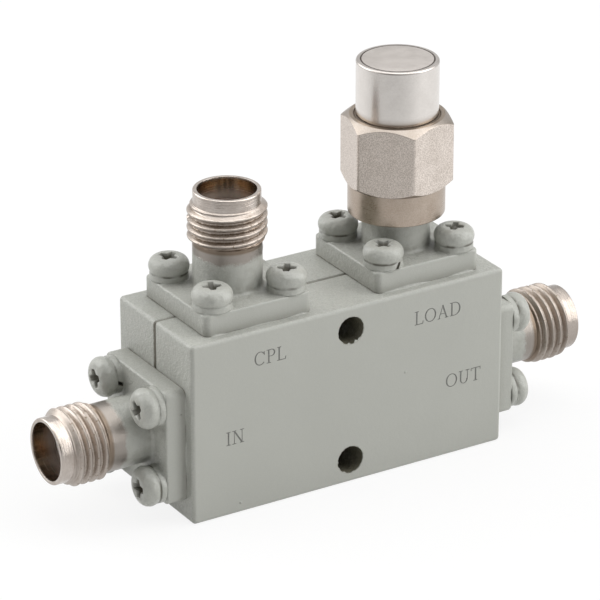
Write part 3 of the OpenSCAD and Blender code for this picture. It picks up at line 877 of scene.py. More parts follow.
def shell_mesh():
    """Flange, barrel and mouth of a port in its own frame, with rows ready for the thread."""
    shape = bmesh.new()
    profile = rounded([
        (BORE_R, 0, 0), (BORE_R, PLANE_H, 0.02 * MM), (MOUTH_R, PLANE_H, MOUTH_EDGE_R),
        (MOUTH_R, MOUTH_TOP - MOUTH_BAND, 0), (MOUTH_R, MOUTH_TOP, MOUTH_EDGE_R),
        (LEAD_R, MOUTH_TOP, RIM_R), (LEAD_R, THREAD_TOP, 0)])
    for i in range(1, THREAD_ROWS):
        profile.append((LEAD_R, THREAD_TOP + (THREAD_START - THREAD_TOP) * i / THREAD_ROWS))
    profile += rounded([
        (BARREL_R, THREAD_START, 0), (BARREL_R, FLANGE_T, BARREL_FILLET),
        (BARREL_R + BARREL_FILLET, FLANGE_T, 0)])
    turn_rings(shape, lambda angle: profile[:-1], even_angles(SHELL_STEPS))
    edge = rounded([
        (0, 0, 0), (FLANGE_HALF, 0, FLANGE_FOOT_R), (FLANGE_HALF, FLANGE_T, FLANGE_EDGE_R), (0, FLANGE_T, 0)])
    loops = []
    for half, z in edge[1:-1]:
        loops.append(rounded_square(shape, half, FLANGE_CORNER_R - (FLANGE_HALF - half), z))
    skin_loops(shape, loops)
    for x in (-1, 1):
        for y in (-1, 1):
            rings = []
            for z in (0, FLANGE_T):
                ring = []
                for turn in even_angles(FIXING_HOLE_STEPS):
                    across = x * FIXING_PITCH / 2 + FIXING_HOLE_R * math.cos(turn)
                    along = y * FIXING_PITCH / 2 + FIXING_HOLE_R * math.sin(turn)
                    ring.append(shape.verts.new((across, along, z)))
                rings.append(ring)
            skin_loops(shape, rings)
    for z in (0, FLANGE_T):
        rim = []
        for line in shape.edges:
            level = all(abs(vertex.co.z - z) < TOLERANCE for vertex in line.verts)
            if line.is_boundary and level:
                rim.append(line)
        bmesh.ops.triangle_fill(shape, edges=rim, use_beauty=True)
    return mesh_of("port_shell", shape)


def thread_tree():
    """Raises a helical ridge on the rows between two heights, with bevelled ends and a nicked crest."""
    names = ("Pitch", "Crest radius", "Root radius", "Start", "End", "Bevel", "Lead radius", "Turn",
             "Paint line", "Dirt and shade", "Tarnish")
    tree, given, made = shaping_tree("rolled_thread", names)
    values = [given.outputs[name] for name in names]
    pitch, crest, root, start, end, bevel, lead, turn, paint_line, dirt_and_shade, tarnish = values
    place = put(tree, "GeometryNodeInputPosition").outputs[0]
    x, y, z = axes(tree, place)
    # The ridge: a saw-tooth wave along the axis that moves on with the angle, its crest and root softened
    radius = calc(tree, "SQRT", plus(tree, times(tree, x, x), times(tree, y, y)))
    turns = plus(tree, calc(tree, "DIVIDE", calc(tree, "ARCTAN2", y, x), math.tau), turn)
    phase = calc(tree, "FRACT", minus(tree, calc(tree, "DIVIDE", z, pitch), turns))
    wave = left_over(tree, calc(tree, "ABSOLUTE", minus(tree, times(tree, phase, 2.0), 1.0)))
    straight = {"Value": wave, "From Min": 0.20, "From Max": 0.86}
    flank = put(tree, "ShaderNodeMapRange", straight).outputs["Result"]
    soft = ramp(tree, wave, 0.12, 0.94)
    ridge = plus(tree, times(tree, flank, 0.65), times(tree, soft, 0.35))
    cells = put(tree, "ShaderNodeTexVoronoi", {"Vector": place, "Scale": 800.0}).outputs["Distance"]
    nick = ramp(tree, cells, 0.16, 0.04)
    worn = times(tree, ridge, left_over(tree, times(tree, nick, 0.5)))
    # The ridge runs out on a bevel at each end
    depth = minus(tree, crest, root)
    raised = plus(tree, root, times(tree, depth, worn))
    top_slope = calc(tree, "DIVIDE", minus(tree, crest, lead), bevel)
    top_limit = plus(tree, lead, times(tree, minus(tree, end, z), top_slope))
    low_slope = calc(tree, "DIVIDE", depth, bevel)
    low_limit = plus(tree, root, times(tree, minus(tree, z, start), low_slope))
    limit = calc(tree, "MINIMUM", raised, calc(tree, "MINIMUM", top_limit, low_limit))
    new_radius = calc(tree, "MAXIMUM", radius, limit)
    outside = calc(tree, "GREATER_THAN", radius, minus(tree, lead, 0.02 * MM))
    between = times(tree, calc(tree, "GREATER_THAN", z, start), calc(tree, "LESS_THAN", z, end))
    here = times(tree, outside, between)
    grow = calc(tree, "DIVIDE", new_radius, radius)
    across = times(tree, x, grow)
    along = times(tree, y, grow)
    moved = put(tree, "ShaderNodeCombineXYZ", {"X": across, "Y": along, "Z": z}).outputs[0]
    # What the finish needs to know of each point
    height_above = minus(tree, z, paint_line)
    ridge_share = calc(tree, "DIVIDE", minus(tree, new_radius, root), depth)
    share = calc(tree, "MULTIPLY", ridge_share, here, clamp=True)
    below_bevel = calc(tree, "LESS_THAN", z, minus(tree, end, bevel))
    zone = times(tree, below_bevel, times(tree, here, left_over(tree, worn)))
    # The grooves' darkening is dirt and painted shade
    rubbed = left_over(tree, times(tree, ramp(tree, wave, 0.34, 0.08), 0.5))
    soiled_and_shaded = times(tree, times(tree, zone, dirt_and_shade), rubbed)
    deep = calc(tree, "LESS_THAN", z, plus(tree, end, 0.9 * MM))
    inside = times(tree, deep, calc(tree, "LESS_THAN", radius, minus(tree, lead, 0.2 * MM)))
    stored = given.outputs["Geometry"]
    drawn = put(tree, "ShaderNodeCombineXYZ", {"X": x, "Y": y, "Z": times(tree, z, 0.1)}).outputs[0]
    streak = noise(tree, drawn, 3600, 3.0)
    marks = {"height": z, "above_paint": height_above, "groove": soiled_and_shaded, "crest": share, "inside": inside,
             "streak": streak, "tarnish": tarnish, "radius": radius}
    for name, value in marks.items():
        sockets = {"Geometry": stored, "Name": name, "Value": value}
        mark = put(tree, "GeometryNodeStoreNamedAttribute", sockets, data_type="FLOAT", domain="POINT")
        stored = mark.outputs[0]
    sockets = {"Geometry": stored, "Selection": here, "Position": moved}
    threaded = put(tree, "GeometryNodeSetPosition", sockets).outputs[0]
    end_tree(tree, given, made, threaded)
    return tree


STEEL_LIGHT = (0.60, 0.545, 0.50, 1)
STEEL_DARK = (0.44, 0.385, 0.34, 1)


def steel_skin_group():
    """Stainless steel as turned: a mottled warm tone, and fine rings along the piece's axis."""
    tree, given, made = skin_tree("steel_skin", "Along", "Rings")
    place = object_place(tree)
    mottle = noise(tree, place, 900, 4.0)
    speck = noise(tree, place, 8000)
    lathe = {"W": given.outputs["Along"], "Scale": 14000.0, "Detail": 2.0}
    rings = put(tree, "ShaderNodeTexNoise", lathe, noise_dimensions="1D").outputs["Fac"]
    tone = plus(tree, times(tree, mottle, 0.75), times(tree, speck, 0.25))
    shade = ramp(tree, tone, 0.3, 0.7)
    ring_rough = times(tree, minus(tree, rings, 0.5), given.outputs["Rings"])
    rough = plus(tree, times(tree, mottle, 0.16), times(tree, ring_rough, 0.2))
    height = plus(tree, times(tree, rings, given.outputs["Rings"]), times(tree, speck, 0.3))
    colour = blend(tree, shade, STEEL_DARK, STEEL_LIGHT)
    wire(tree, made, Colour=colour, Roughness=rough, Height=height)
    return tree


steel_skin = steel_skin_group()
GROOVE_DIRT_AND_SHADE_COLOUR = (0.17, 0.122, 0.082, 1)
CREST_COLOUR = (0.37, 0.328, 0.29, 1)
TARNISH_COLOUR = (0.27, 0.232, 0.20, 1)
BARREL_SHADE_COLOUR = (0.285, 0.26, 0.235, 1)
# Painted shade inside the mouth: dark and lighter streaks, and a lighter end at its floor
MOUTH_SHADE_DARK = (0.078, 0.053, 0.032, 1)
MOUTH_SHADE_LIGHT = (0.245, 0.168, 0.112, 1)
INSIDE_RUST = (0.26, 0.135, 0.055, 1)
MOUTH_SHADE_FLOOR_END = (0.30, 0.25, 0.22, 1)
STEEL_MARK_DEPTH = 0.006 * MM
PAINT_EDGE_WANDER = 1.3 * MM
PAINT_EDGE_SPRAY = 0.5 * MM
PAINT_EDGE_FADE = 0.20 * MM
# Where the mouth's painted shade turns lighter, how unevenly, and how far painted shade reaches on the
# barrel's foot and flange
MOUTH_DARK_H = 9.9 * MM
MOUTH_LIGHT_H = 8.6 * MM
MOUTH_UNEVEN = 1.2 * MM
FOOT_SHADE_R = 4.4 * MM
FOOT_SHADE_H = 1.2 * MM
FLANGE_SHADE_H = 1.3 * MM


def outer_steel(tree, place, height, steel_colour):
    """Steel outside: tarnished, brown in the grooves from soil and painted shade, worn on crests, dull with
    painted shade on the barrel.
    """
    over_thread = ramp(tree, height, THREAD_TOP - 0.45 * MM, THREAD_TOP - 0.30 * MM)
    bevelled = times(tree, over_thread, ramp(tree, height, THREAD_TOP + 0.04 * MM, THREAD_TOP))
    tarnish = calc(tree, "MAXIMUM", attribute(tree, "tarnish"), times(tree, bevelled, 0.45))
    tarnished = blend(tree, tarnish, steel_colour, TARNISH_COLOUR)
    worn_crest = ramp(tree, attribute(tree, "crest"), 0.86, 1.0)
    crested = blend(tree, worn_crest, tarnished, CREST_COLOUR)
    # The undercut below the thread darkens with dirt and painted shade
    over_barrel = ramp(tree, height, THREAD_START - 0.42 * MM, THREAD_START - 0.20 * MM)
    under_thread = ramp(tree, height, THREAD_START + 0.35 * MM, THREAD_START + 0.10 * MM)
    undercut = times(tree, times(tree, over_barrel, under_thread), 0.8)
    flecks = plus(tree, times(tree, ramp(tree, noise(tree, place, 7000, 3.0), 0.35, 0.65), 0.6), 0.55)
    dirt_and_shade = times(tree, attribute(tree, "groove"), flecks)
    specks = times(tree, ramp(tree, noise(tree, place, 4200, 3.0), 0.60, 0.68), 0.9)
    crest_dirt = times(tree, specks, attribute(tree, "crest"))
    grubby = calc(tree, "MAXIMUM", calc(tree, "MAXIMUM", dirt_and_shade, undercut), crest_dirt)
    threaded = blend(tree, grubby, crested, GROOVE_DIRT_AND_SHADE_COLOUR)
    barrel = blend(tree, undercut, BARREL_SHADE_COLOUR, GROOVE_DIRT_AND_SHADE_COLOUR)
    # Painted shade: the bare barrel below the thread is coloured darker
    barrel_dull_shade = times(tree, ramp(tree, height, THREAD_START + 0.05 * MM, THREAD_START - 0.25 * MM), 0.85)
    return blend(tree, barrel_dull_shade, threaded, barrel)


def mouth_steel(tree, place, height):
    """Steel inside the mouth, dark and streaked as painted shade, stained here and there, and lighter towards
    its floor.
    """
    streaked = blend(tree, ramp(tree, attribute(tree, "streak"), 0.36, 0.68), MOUTH_SHADE_DARK, MOUTH_SHADE_LIGHT)
    stain = times(tree, ramp(tree, noise(tree, place, 420), 0.48, 0.66), 0.8)
    stained = blend(tree, stain, streaked, INSIDE_RUST)
    uneven_height = plus(tree, height, times(tree, noise(tree, place, 700), MOUTH_UNEVEN))
    deep = ramp(tree, uneven_height, MOUTH_DARK_H, MOUTH_LIGHT_H)
    return blend(tree, deep, stained, MOUTH_SHADE_FLOOR_END)


def bare_share(tree, place):
    """Where the steel is bare: above a ragged, sprayed line on the barrel."""
    ragged = minus(tree, noise(tree, place, 650, 4.0), 0.5)
    spray = minus(tree, noise(tree, place, 9000), 0.5)
    edge = plus(tree, times(tree, ragged, PAINT_EDGE_WANDER), times(tree, spray, PAINT_EDGE_SPRAY))
    above_edge = plus(tree, attribute(tree, "above_paint"), edge)
    return ramp(tree, above_edge, -PAINT_EDGE_FADE, PAINT_EDGE_FADE)


def paint_dirt_and_shade(tree, place, height):
    """How dark the paint is: painted shade low on the flange, and in patches soil on the barrel and painted
    shade round its foot.
    """
    low_flange_shade = times(tree, ramp(tree, height, FLANGE_SHADE_H, 0.0), 0.22)
    on_barrel = times(tree, ramp(tree, height, FLANGE_T, FLANGE_T + 0.5 * MM), 0.16)
    near_barrel = ramp(tree, attribute(tree, "radius"), FOOT_SHADE_R, BARREL_R + 0.15 * MM)
    barrel_foot_shade = times(tree, near_barrel, ramp(tree, height, FLANGE_T + FOOT_SHADE_H, FLANGE_T))
    foot_shade_and_smudge = plus(tree, times(tree, barrel_foot_shade, 0.28), on_barrel)
    mottle = ramp(tree, noise(tree, place, 1700, 4.0), 0.40, 0.68)
    return calc(tree, "MAXIMUM", low_flange_shade, times(tree, foot_shade_and_smudge, mottle))


def port_finish():
    """Paint on the flange and the foot of the barrel, with soil and painted shade, then bare steel, browner
    in the thread's grooves.
    """
    material, tree, shader = new_material("port_finish")
    where = put(tree, "ShaderNodeTexCoord").outputs
    place = where["Object"]
    height = attribute(tree, "height")
    front = axes(tree, where["Normal"])["Y"]
    broad = times(tree, calc(tree, "POWER", calc(tree, "ABSOLUTE", front), 2.0), 0.75)
    paint = paint_nodes(tree, times(tree, left_over(tree, broad), 0.9))
    steel = put(tree, "ShaderNodeGroup", {"Along": height, "Rings": 0.6}, node_tree=steel_skin).outputs
    outside = outer_steel(tree, place, height, steel["Colour"])
    metal = blend(tree, attribute(tree, "inside"), outside, mouth_steel(tree, place, height))
    # Dirt and painted shade on the port's paint
    soiled_and_shaded = blend(tree, paint_dirt_and_shade(tree, place, height), paint["Colour"], JOINT_DIRT_AND_SHADE_COLOUR)
    bare = bare_share(tree, place)
    finish = blend(tree, bare, soiled_and_shaded, metal)
    # A broken dark line where the flange meets the housing
    reach = plus(tree, 0.15 * MM, times(tree, calc(tree, "MINIMUM", front, 0.0), 0.09 * MM))
    broken = times(tree, noise(tree, place, 700, 3.0), reach)
    foot = times(tree, ramp(tree, minus(tree, height, broken), 0.05 * MM, 0.0), 0.75)
    colour = blend(tree, foot, finish, JOINT_DIRT_AND_SHADE_COLOUR)
    # The film's own gloss and grain, and the steel's where it is bare, smoother on the lead-in
    on_lead = ramp(tree, height, THREAD_TOP - 0.05 * MM, THREAD_TOP + 0.05 * MM)
    dullness = minus(tree, 0.28, times(tree, on_lead, 0.14))
    steel_rough = plus(tree, steel["Roughness"], dullness)
    film = left_over(tree, bare)
    rough = plus(tree, times(tree, paint["Roughness"], film), times(tree, steel_rough, bare))
    steel_marks = times(tree, steel["Height"], times(tree, bare, 0.25))
    relief = plus(tree, times(tree, paint["Height"], film), steel_marks)
    wire(tree, shader, Base_Color=colour, Roughness=rough, Metallic=times(tree, bare, 0.92))
    wire(tree, shader, Normal=bump(tree, relief, PAINT_PEEL_DEPTH))
    return material


port_shell = shell_mesh()
rolled_thread = thread_tree()
port_material = port_finish()
for port, place in PORT_PLACES.items():
    blank = loose_object(port + "_blank", port_shell)
    add_nodes_modifier(blank, rolled_thread, {
        "Pitch": THREAD_PITCH, "Crest radius": THREAD_CREST_R, "Root radius": THREAD_ROOT_R,
        "Start": THREAD_START, "End": THREAD_TOP, "Bevel": THREAD_BEVEL, "Lead radius": LEAD_R,
        "Turn": THREAD_TURNS[port], "Paint line": PAINT_LINES[port], "Dirt and shade": THREAD_DIRT_AND_SHADE[port],
        "Tarnish": TARNISH[port], "Material": port_material})
    threaded_mesh = baked(blank)
    threaded_mesh.transform(place)
    smooth(threaded_mesh)
    add_piece(port + "_threaded_shell", threaded_mesh, [port + "_shell"])

# Insulators and centre contacts
# A turned fluoropolymer bead fills each bore up to the reference plane, and holds a slotted, gold-plated
# socket whose tail lies on the strip. They keep their solids.
contact_gold = plated("contact_gold", (0.83, 0.58, 0.22, 1), (0.66, 0.42, 0.14, 1), 0.18)
for port in PORT_PLACES:
    dress(insulator_white, port + "_insulator")
    dress(contact_gold, port + "_contact")

# Lock washers
# One split spring washer under each flange screw, pressed flat and painted over. Its slit runs aslant.
WASHER_R_IN = 0.9 * MM
WASHER_R_OUT = 1.55 * MM
WASHER_T = 0.55 * MM
WASHER_SLIT = 0.20 * MM
WASHER_EDGE_R = 0.09 * MM
WASHER_STEPS = 72
WASHER_GAP_SHADE_H = WASHER_T - 0.10 * MM
WASHER_GAP_SHADE_FADE = 0.08 * MM
SLIT_SLANT = math.radians(25)
# Place of the slit for the screws at -x -y, -x +y, +x -y and +x +y of each port's own frame
SLIT_TURNS = {
    "input": (150, 120, 100, 262),
    "output": (30, 60, 45, 75),
    "coupled": (60, 30, 90, 45),
    "load_port": (289, 30, 60, 90),
}


def washer_tree():
    """Sweeps a soft-edged rectangle along an open circle and shears it so that the slit runs aslant."""
    names = ("Inner radius", "Outer radius", "Thickness", "Slit", "Edge", "Slant")
    tree, given, made = shaping_tree("split_washer", names)
    inner, outer, thick, slit, edge, slant = (given.outputs[name] for name in names)
    middle = times(tree, plus(tree, inner, outer), 0.5)
    gap = calc(tree, "DIVIDE", slit, middle)
    sweep = {"Resolution": WASHER_STEPS, "Radius": middle, "Start Angle": times(tree, gap, 0.5),
             "Sweep Angle": minus(tree, math.tau, gap)}
    ring = put(tree, "GeometryNodeCurveArc", sweep).outputs["Curve"]
    upright = put(tree, "GeometryNodeSetCurveNormal", {"Curve": ring}, mode="Z_UP").outputs[0]
    section = {"Width": minus(tree, outer, inner), "Height": thick}
    corners = put(tree, "GeometryNodeCurvePrimitiveQuadrilateral", section).outputs["Curve"]
    softening = {"Curve": corners, "Count": 3, "Radius": edge}
    softened = put(tree, "GeometryNodeFilletCurve", softening, mode="POLY")
    swept = {"Curve": upright, "Profile Curve": softened.outputs[0], "Fill Caps": True}
    band = put(tree, "GeometryNodeCurveToMesh", swept).outputs[0]
    place = put(tree, "GeometryNodeInputPosition").outputs[0]
    z = axes(tree, place)["Z"]
    shear = calc(tree, "DIVIDE", times(tree, z, calc(tree, "TANGENT", slant)), middle)
    turning = {"Vector": place, "Angle": shear}
    turned = put(tree, "ShaderNodeVectorRotate", turning, rotation_type="Z_AXIS").outputs[0]
    lift = put(tree, "ShaderNodeCombineXYZ", {"Z": times(tree, thick, 0.5)}).outputs[0]
    moved = {"Geometry": band, "Position": turned, "Offset": lift}
    seated = put(tree, "GeometryNodeSetPosition", moved).outputs[0]
    end_tree(tree, given, made, seated)
    return tree


def at_slit(place):
    """Whether a point of the washer lies on one of the ends that the slit leaves, where painted shade goes.
    """
    middle = (WASHER_R_IN + WASHER_R_OUT) / 2
    shear = (place.z - WASHER_T / 2) * math.tan(SLIT_SLANT) / middle
    off = math.atan2(place.y, place.x) - shear
    return 1.0 if abs(off) * middle < WASHER_SLIT * 0.6 else 0.0


def fit_flanges(kind, mesh, height, turns, replaced=None):
    """Four copies of a small piece at this height on every flange, as one piece to a port."""
    for port, place in PORT_PLACES.items():
        name = f"{port}_{kind}"
        copies = set_of_four(name + "_set", mesh, FIXING_PITCH, FIXING_PITCH, height, turns[port],
                             fixings_paint, place)
        add_piece(name, copies, [f"{port}_{replaced}"] if replaced else [])


washer_blank = loose_object("washer_blank", bpy.data.meshes.new("washer_blank"))
add_nodes_modifier(washer_blank, washer_tree(), {
    "Inner radius": WASHER_R_IN, "Outer radius": WASHER_R_OUT, "Thickness": WASHER_T, "Slit": WASHER_SLIT,
    "Edge": WASHER_EDGE_R, "Slant": SLIT_SLANT, "Material": fixings_paint})
washer_mesh = baked(washer_blank)
smooth(washer_mesh)
# Painted shade on the slit's ends, and in the gap under the screw head
mark_points(washer_mesh, "hollow", at_slit)
mark_points(washer_mesh, "gap", lambda p: (p.z - WASHER_GAP_SHADE_H) / WASHER_GAP_SHADE_FADE)
fit_flanges("split_washers", washer_mesh, FLANGE_T, SLIT_TURNS, "lock_washers")

# Paint fillets
# The paint gathered in the corner round each washer and bridged the joint along the front and rear of the
# flanges, unevenly and with breaks.
FILLET_R = 0.10 * MM
FILLET_LEAST = 0.01 * MM
FILLET_SINK = 0.03 * MM
FILLET_ARC_STEPS = 6
FILLET_STEPS = 64
BRIDGE_STEPS = 120
BRIDGE_HALF_L = 4.4 * MM
BRIDGE_MOST = 0.20 * MM
BRIDGE_TAPER = 0.5 * MM
FILLET_TURNS = dict.fromkeys(PORT_PLACES, (180, 90, 270, 0))
BRIDGE_SEEDS = {"input": 3.1, "output": 5.6, "coupled": 0.4, "load_port": 7.8}


def fillet_outline(size):
    """A hollow quarter-round of paint in a corner, as (outwards, upwards) points, let into both sides."""
    outline = [(-FILLET_SINK, -FILLET_SINK), (-FILLET_SINK, size)]
    for i in range(FILLET_ARC_STEPS + 1):
        turn = math.radians(90 * i / FILLET_ARC_STEPS)
        outline.append((size * (1 - math.cos(turn)), size * (1 - math.sin(turn))))
    outline.append((size, -FILLET_SINK))
    return outline


def washer_fillet():
    """A ring of paint round the foot of the washer at the +x +y corner, thinning out at the flange's edge."""
    room = FLANGE_HALF - FLANGE_EDGE_R - FIXING_PITCH / 2

    def section(angle):
        edge = room / max(math.cos(angle), math.sin(angle), 0.1)
        size = min(FILLET_R, max(FILLET_LEAST, edge - WASHER_R_OUT))
        return [(WASHER_R_OUT + out, up) for out, up in fillet_outline(size)]

    return closed_ring_mesh("washer_fillet", section, even_angles(FILLET_STEPS))


def bridge_mesh(side, seed):
    """A strip of paint along one side of a flange, of uneven size."""
    shape = bmesh.new()
    loops = []
    for i in range(BRIDGE_STEPS + 1):
        along = BRIDGE_HALF_L * (2 * i / BRIDGE_STEPS - 1)
        wander = mathutils.noise.noise(Vector((along / MM * 0.45, side * 3.7, seed)))
        ripple = mathutils.noise.noise(Vector((along / MM * 2.0, side * 5.3, seed)))
        taper = min(1.0, (BRIDGE_HALF_L - abs(along)) / BRIDGE_TAPER + 0.05)
        size = BRIDGE_MOST * taper * min(1.0, max(0.10, 0.55 + 1.1 * wander + 0.12 * ripple))
        loop = []
        for out, up in fillet_outline(size):
            loop.append(shape.verts.new((along, side * (FLANGE_HALF + out), up)))
        loops.append(loop)
    skin_loops(shape, loops)
    shape.faces.new(loops[0])
    shape.faces.new(loops[-1])
    return mesh_of("paint_bridge", shape)


fit_flanges("washer_paint", washer_fillet(), FLANGE_T, FILLET_TURNS)
for port, seed in BRIDGE_SEEDS.items():
    for side, side_name in ((-1, "front"), (1, "rear")):
        bridge = bridge_mesh(side, seed)
        bridge.transform(PORT_PLACES[port])
        bridge.materials.append(fixings_paint)
        add_piece(f"{port}_{side_name}_paint_bridge", bridge, [])

# Flange screws
# Small pan-head screws with a cross recess, driven before the spraying, so the paint softens the head, lies
# in the recess and fills most of the gap between the bulging head and the washer.
SEAT_H = FLANGE_T + WASHER_T
HEAD_R = 1.63 * MM
HEAD_H = 1.28 * MM
HEAD_BELLY_H = 0.5 * MM
HEAD_FILLED_R = 1.525 * MM
HEAD_STEPS = 24
HEAD_TOP_RINGS = 4
HEAD_GAP_SHADE_H = 0.20 * MM
HEAD_GAP_SHADE_FADE = 0.14 * MM
SCREW_STEPS = 72
RECESS_SHADE = 0.32 * MM
SCREW_R = 0.8 * MM
SCREW_L = 4.0 * MM
RECESS_TURNS = {
    "input": (5, 65, 40, 20),
    "output": (75, 10, 30, 50),
    "coupled": (70, 30, 55, 10),
    "load_port": (15, 25, 48, 62),
}


def screw_profile():
    """Shank, seat, bulging side and softly rounded top of a pan head."""
    corner_r = HEAD_H - HEAD_BELLY_H
    middle = HEAD_R - corner_r
    seat_turn = -math.asin(HEAD_BELLY_H / corner_r)
    profile = rounded([
        (0, -SCREW_L, 0), (SCREW_R, -SCREW_L, SHANK_END_R), (SCREW_R, 0, 0), (middle, 0, 0)])
    for i in range(HEAD_STEPS + 1):
        turn = seat_turn + (math.radians(90) - seat_turn) * i / HEAD_STEPS
        side = middle + corner_r * math.cos(turn)
        if turn < 0:
            side = max(HEAD_FILLED_R, side)
        profile.append((side, HEAD_BELLY_H + corner_r * math.sin(turn)))
    for i in range(1, HEAD_TOP_RINGS + 1):
        profile.append((middle * (1 - i / HEAD_TOP_RINGS), HEAD_H))
    return profile


def in_recess(place):
    """How deep a point of the head lies in the recess, which sets its painted shade."""
    if place.xy.length < RECESS_R and place.z > 0:
        return (HEAD_H - place.z) / RECESS_SHADE
    return 0.0


screw_mesh = recessed_screw("flange_screw", screw_profile(), HEAD_H, SCREW_STEPS)
# Painted shade in the recess, and in the gap above the washer
mark_points(screw_mesh, "hollow", in_recess)
mark_points(screw_mesh, "gap", lambda p: (HEAD_GAP_SHADE_H - p.z) / HEAD_GAP_SHADE_FADE)
fit_flanges("pan_screws", screw_mesh, SEAT_H, RECESS_TURNS, "screws")

# Inside the matched load
# A male pin, an insulator, a resistor rod, a face gasket and the ring that keeps the nut on the body. All are
# closed in, so they keep their solids and take a finish.
RUBBER_LIGHT = (0.34, 0.07, 0.04, 1)
RUBBER_DARK = (0.26, 0.05, 0.03, 1)
gasket_rubber = clouded("gasket_rubber", RUBBER_LIGHT, RUBBER_DARK, clouds=1200, roughness=0.7, marks=9000)
spring_bronze = plated("spring_bronze", (0.70, 0.47, 0.22, 1), (0.55, 0.35, 0.16, 1), 0.3)
rod_ceramic = milky_plastic("rod_ceramic", (0.78, 0.75, 0.68, 1), (0.70, 0.66, 0.58, 1))
dress(gasket_rubber, "load_gasket")
dress(insulator_white, "load_insulator")
dress(contact_gold, "load_pin")
dress(spring_bronze, "load_retaining_ring")
dress(rod_ceramic, "load_resistor")

# Load body and end disc
# The load's body is turned and polished stainless steel, a shroud below and a cup above. A finely blasted
# disc is pressed into the cup, with a dark hairline groove between it and the cup's duller rim.
SHROUD_R = 2.33 * MM
SHOULDER_H = 10.15 * MM
LOAD_R = 3.3 * MM
LOAD_TOP = 17.35 * MM
LOAD_END_R = 0.17 * MM
RING_GROOVE_R = 2.98 * MM
RING_H = 11.275 * MM
RING_GROOVE_W = 0.44 * MM
CUP_R = 2.92 * MM
CUP_FLOOR = 16.45 * MM
STEM_BORE_R = 1.52 * MM
BEAD_TOP = 12.31 * MM
DISC_R = 2.90 * MM
DISC_STEM_R = 1.5 * MM
DISC_STEM_BOTTOM = 15.55 * MM
ROD_BORE_R = 0.82 * MM
ROD_BORE_TOP = 16.05 * MM
HAIRLINE_R = 0.06 * MM
LOAD_STEPS = 160
POLISHED_MARK_DEPTH = 0.0015 * MM
SOIL_AND_SHADE_COLOUR = (0.26, 0.20, 0.14, 1)
NUT_TOP = 12.8 * MM
SOIL_AND_SHADE_FOOT = BODY_H + NUT_TOP
SOIL_AND_SHADE_TOP = SOIL_AND_SHADE_FOOT + 0.75 * MM


def mark_faces(mesh, kind_at):
    """Chooses each face's material from the radius and height of its middle."""
    for face in mesh.polygons:
        face.material_index = int(kind_at(face.center.xy.length, face.center.z))


def shade_and_grime(name, dark, light):
    """A dark colour for a narrow groove, uneven in tone: soil and painted shade."""
    return clouded(name, dark, light, clouds=1500, roughness=0.6)


def load_steel(name, light, dark, roughness, grain, rings, mark_depth=STEEL_MARK_DEPTH):
    """Steel of the load: polished and ringed by the lathe, or blasted to a fine even grain; brown just above
    the nut with soil and painted shade.
    """
    material, tree, shader = new_material(name)
    place = object_place(tree)
    along = axes(tree, place)["Z"]
    steel = put(tree, "ShaderNodeGroup", {"Along": along, "Rings": rings}, node_tree=steel_skin).outputs
    fine = noise(tree, place, 12500, 2.0)
    shade = ramp(tree, fine, 0.38, 0.62)
    tint = blend(tree, shade, dark, light)
    worn = blend(tree, 0.7, steel["Colour"], tint)
    # Brown band on the body just above the nut: soil and painted shade
    in_nut = ramp(tree, along, SOIL_AND_SHADE_FOOT, SOIL_AND_SHADE_FOOT - 0.01 * MM)
    soiled_and_shaded = times(tree, ramp(tree, along, SOIL_AND_SHADE_TOP, SOIL_AND_SHADE_FOOT), left_over(tree, in_nut))
    colour = blend(tree, times(tree, soiled_and_shaded, 0.55), worn, SOIL_AND_SHADE_COLOUR)
    wire(tree, shader, Base_Color=colour, Roughness=plus(tree, steel["Roughness"], roughness))
    height = plus(tree, steel["Height"], times(tree, fine, grain))
    wire(tree, shader, Normal=bump(tree, height, mark_depth))
    shader.inputs["Metallic"].default_value = 1.0
    return material


polished_steel = load_steel(
    "polished_steel", light=(0.86, 0.83, 0.80, 1), dark=(0.80, 0.77, 0.74, 1), roughness=0.15, grain=0.0,
    rings=0.25, mark_depth=POLISHED_MARK_DEPTH)
rim_steel = load_steel(
    "rim_steel", light=(0.50, 0.475, 0.455, 1), dark=(0.43, 0.41, 0.39, 1), roughness=0.24, grain=0.4,
    rings=0.0)
disc_steel = load_steel(
    "disc_steel", light=(0.49, 0.467, 0.448, 1), dark=(0.435, 0.41, 0.39, 1), roughness=0.38, grain=0.8,
    rings=0.0)
body_profile = rounded([
    (SHROUD_R, PLANE_H, 0), (SHROUD_R, SHOULDER_H, 0), (LOAD_R, SHOULDER_H, 0.05 * MM),
    (LOAD_R, RING_H, 0), (RING_GROOVE_R, RING_H, 0), (RING_GROOVE_R, RING_H + RING_GROOVE_W, 0),
    (LOAD_R, RING_H + RING_GROOVE_W, 0), (LOAD_R, LOAD_TOP, LOAD_END_R), (CUP_R, LOAD_TOP, HAIRLINE_R),
    (CUP_R, CUP_FLOOR, 0), (STEM_BORE_R, CUP_FLOOR, 0), (STEM_BORE_R, BEAD_TOP, 0), (BORE_R, BEAD_TOP, 0),
    (BORE_R, PLANE_H, 0)])


def add_load_piece(name, mesh, finishes, nodes):
    """A piece of the load, moved on to its port and given its finishes."""
    mesh.transform(PORT_PLACES["load_port"])
    for finish in finishes:
        mesh.materials.append(finish)
    add_piece(name, mesh, nodes)


def load_face(r, z):
    """Which of the body's materials a face takes: polished, dark at the hairline with soil and painted shade,
    or dull at the rim.
    """
    if z < LOAD_TOP - LOAD_END_R:
        return 0
    return 1 if r < CUP_R + HAIRLINE_R else 2


# The hairline groove's dark faces: soil and painted shade
hairline_shade_grime = shade_and_grime("hairline_shade_and_grime", (0.035, 0.028, 0.022, 1), (0.13, 0.11, 0.095, 1))
load_mesh = closed_ring_mesh("load_body_mesh", lambda angle: body_profile, even_angles(LOAD_STEPS))
mark_faces(load_mesh, load_face)
add_load_piece("polished_load_body", load_mesh, [polished_steel, hairline_shade_grime, rim_steel], ["load_body"])

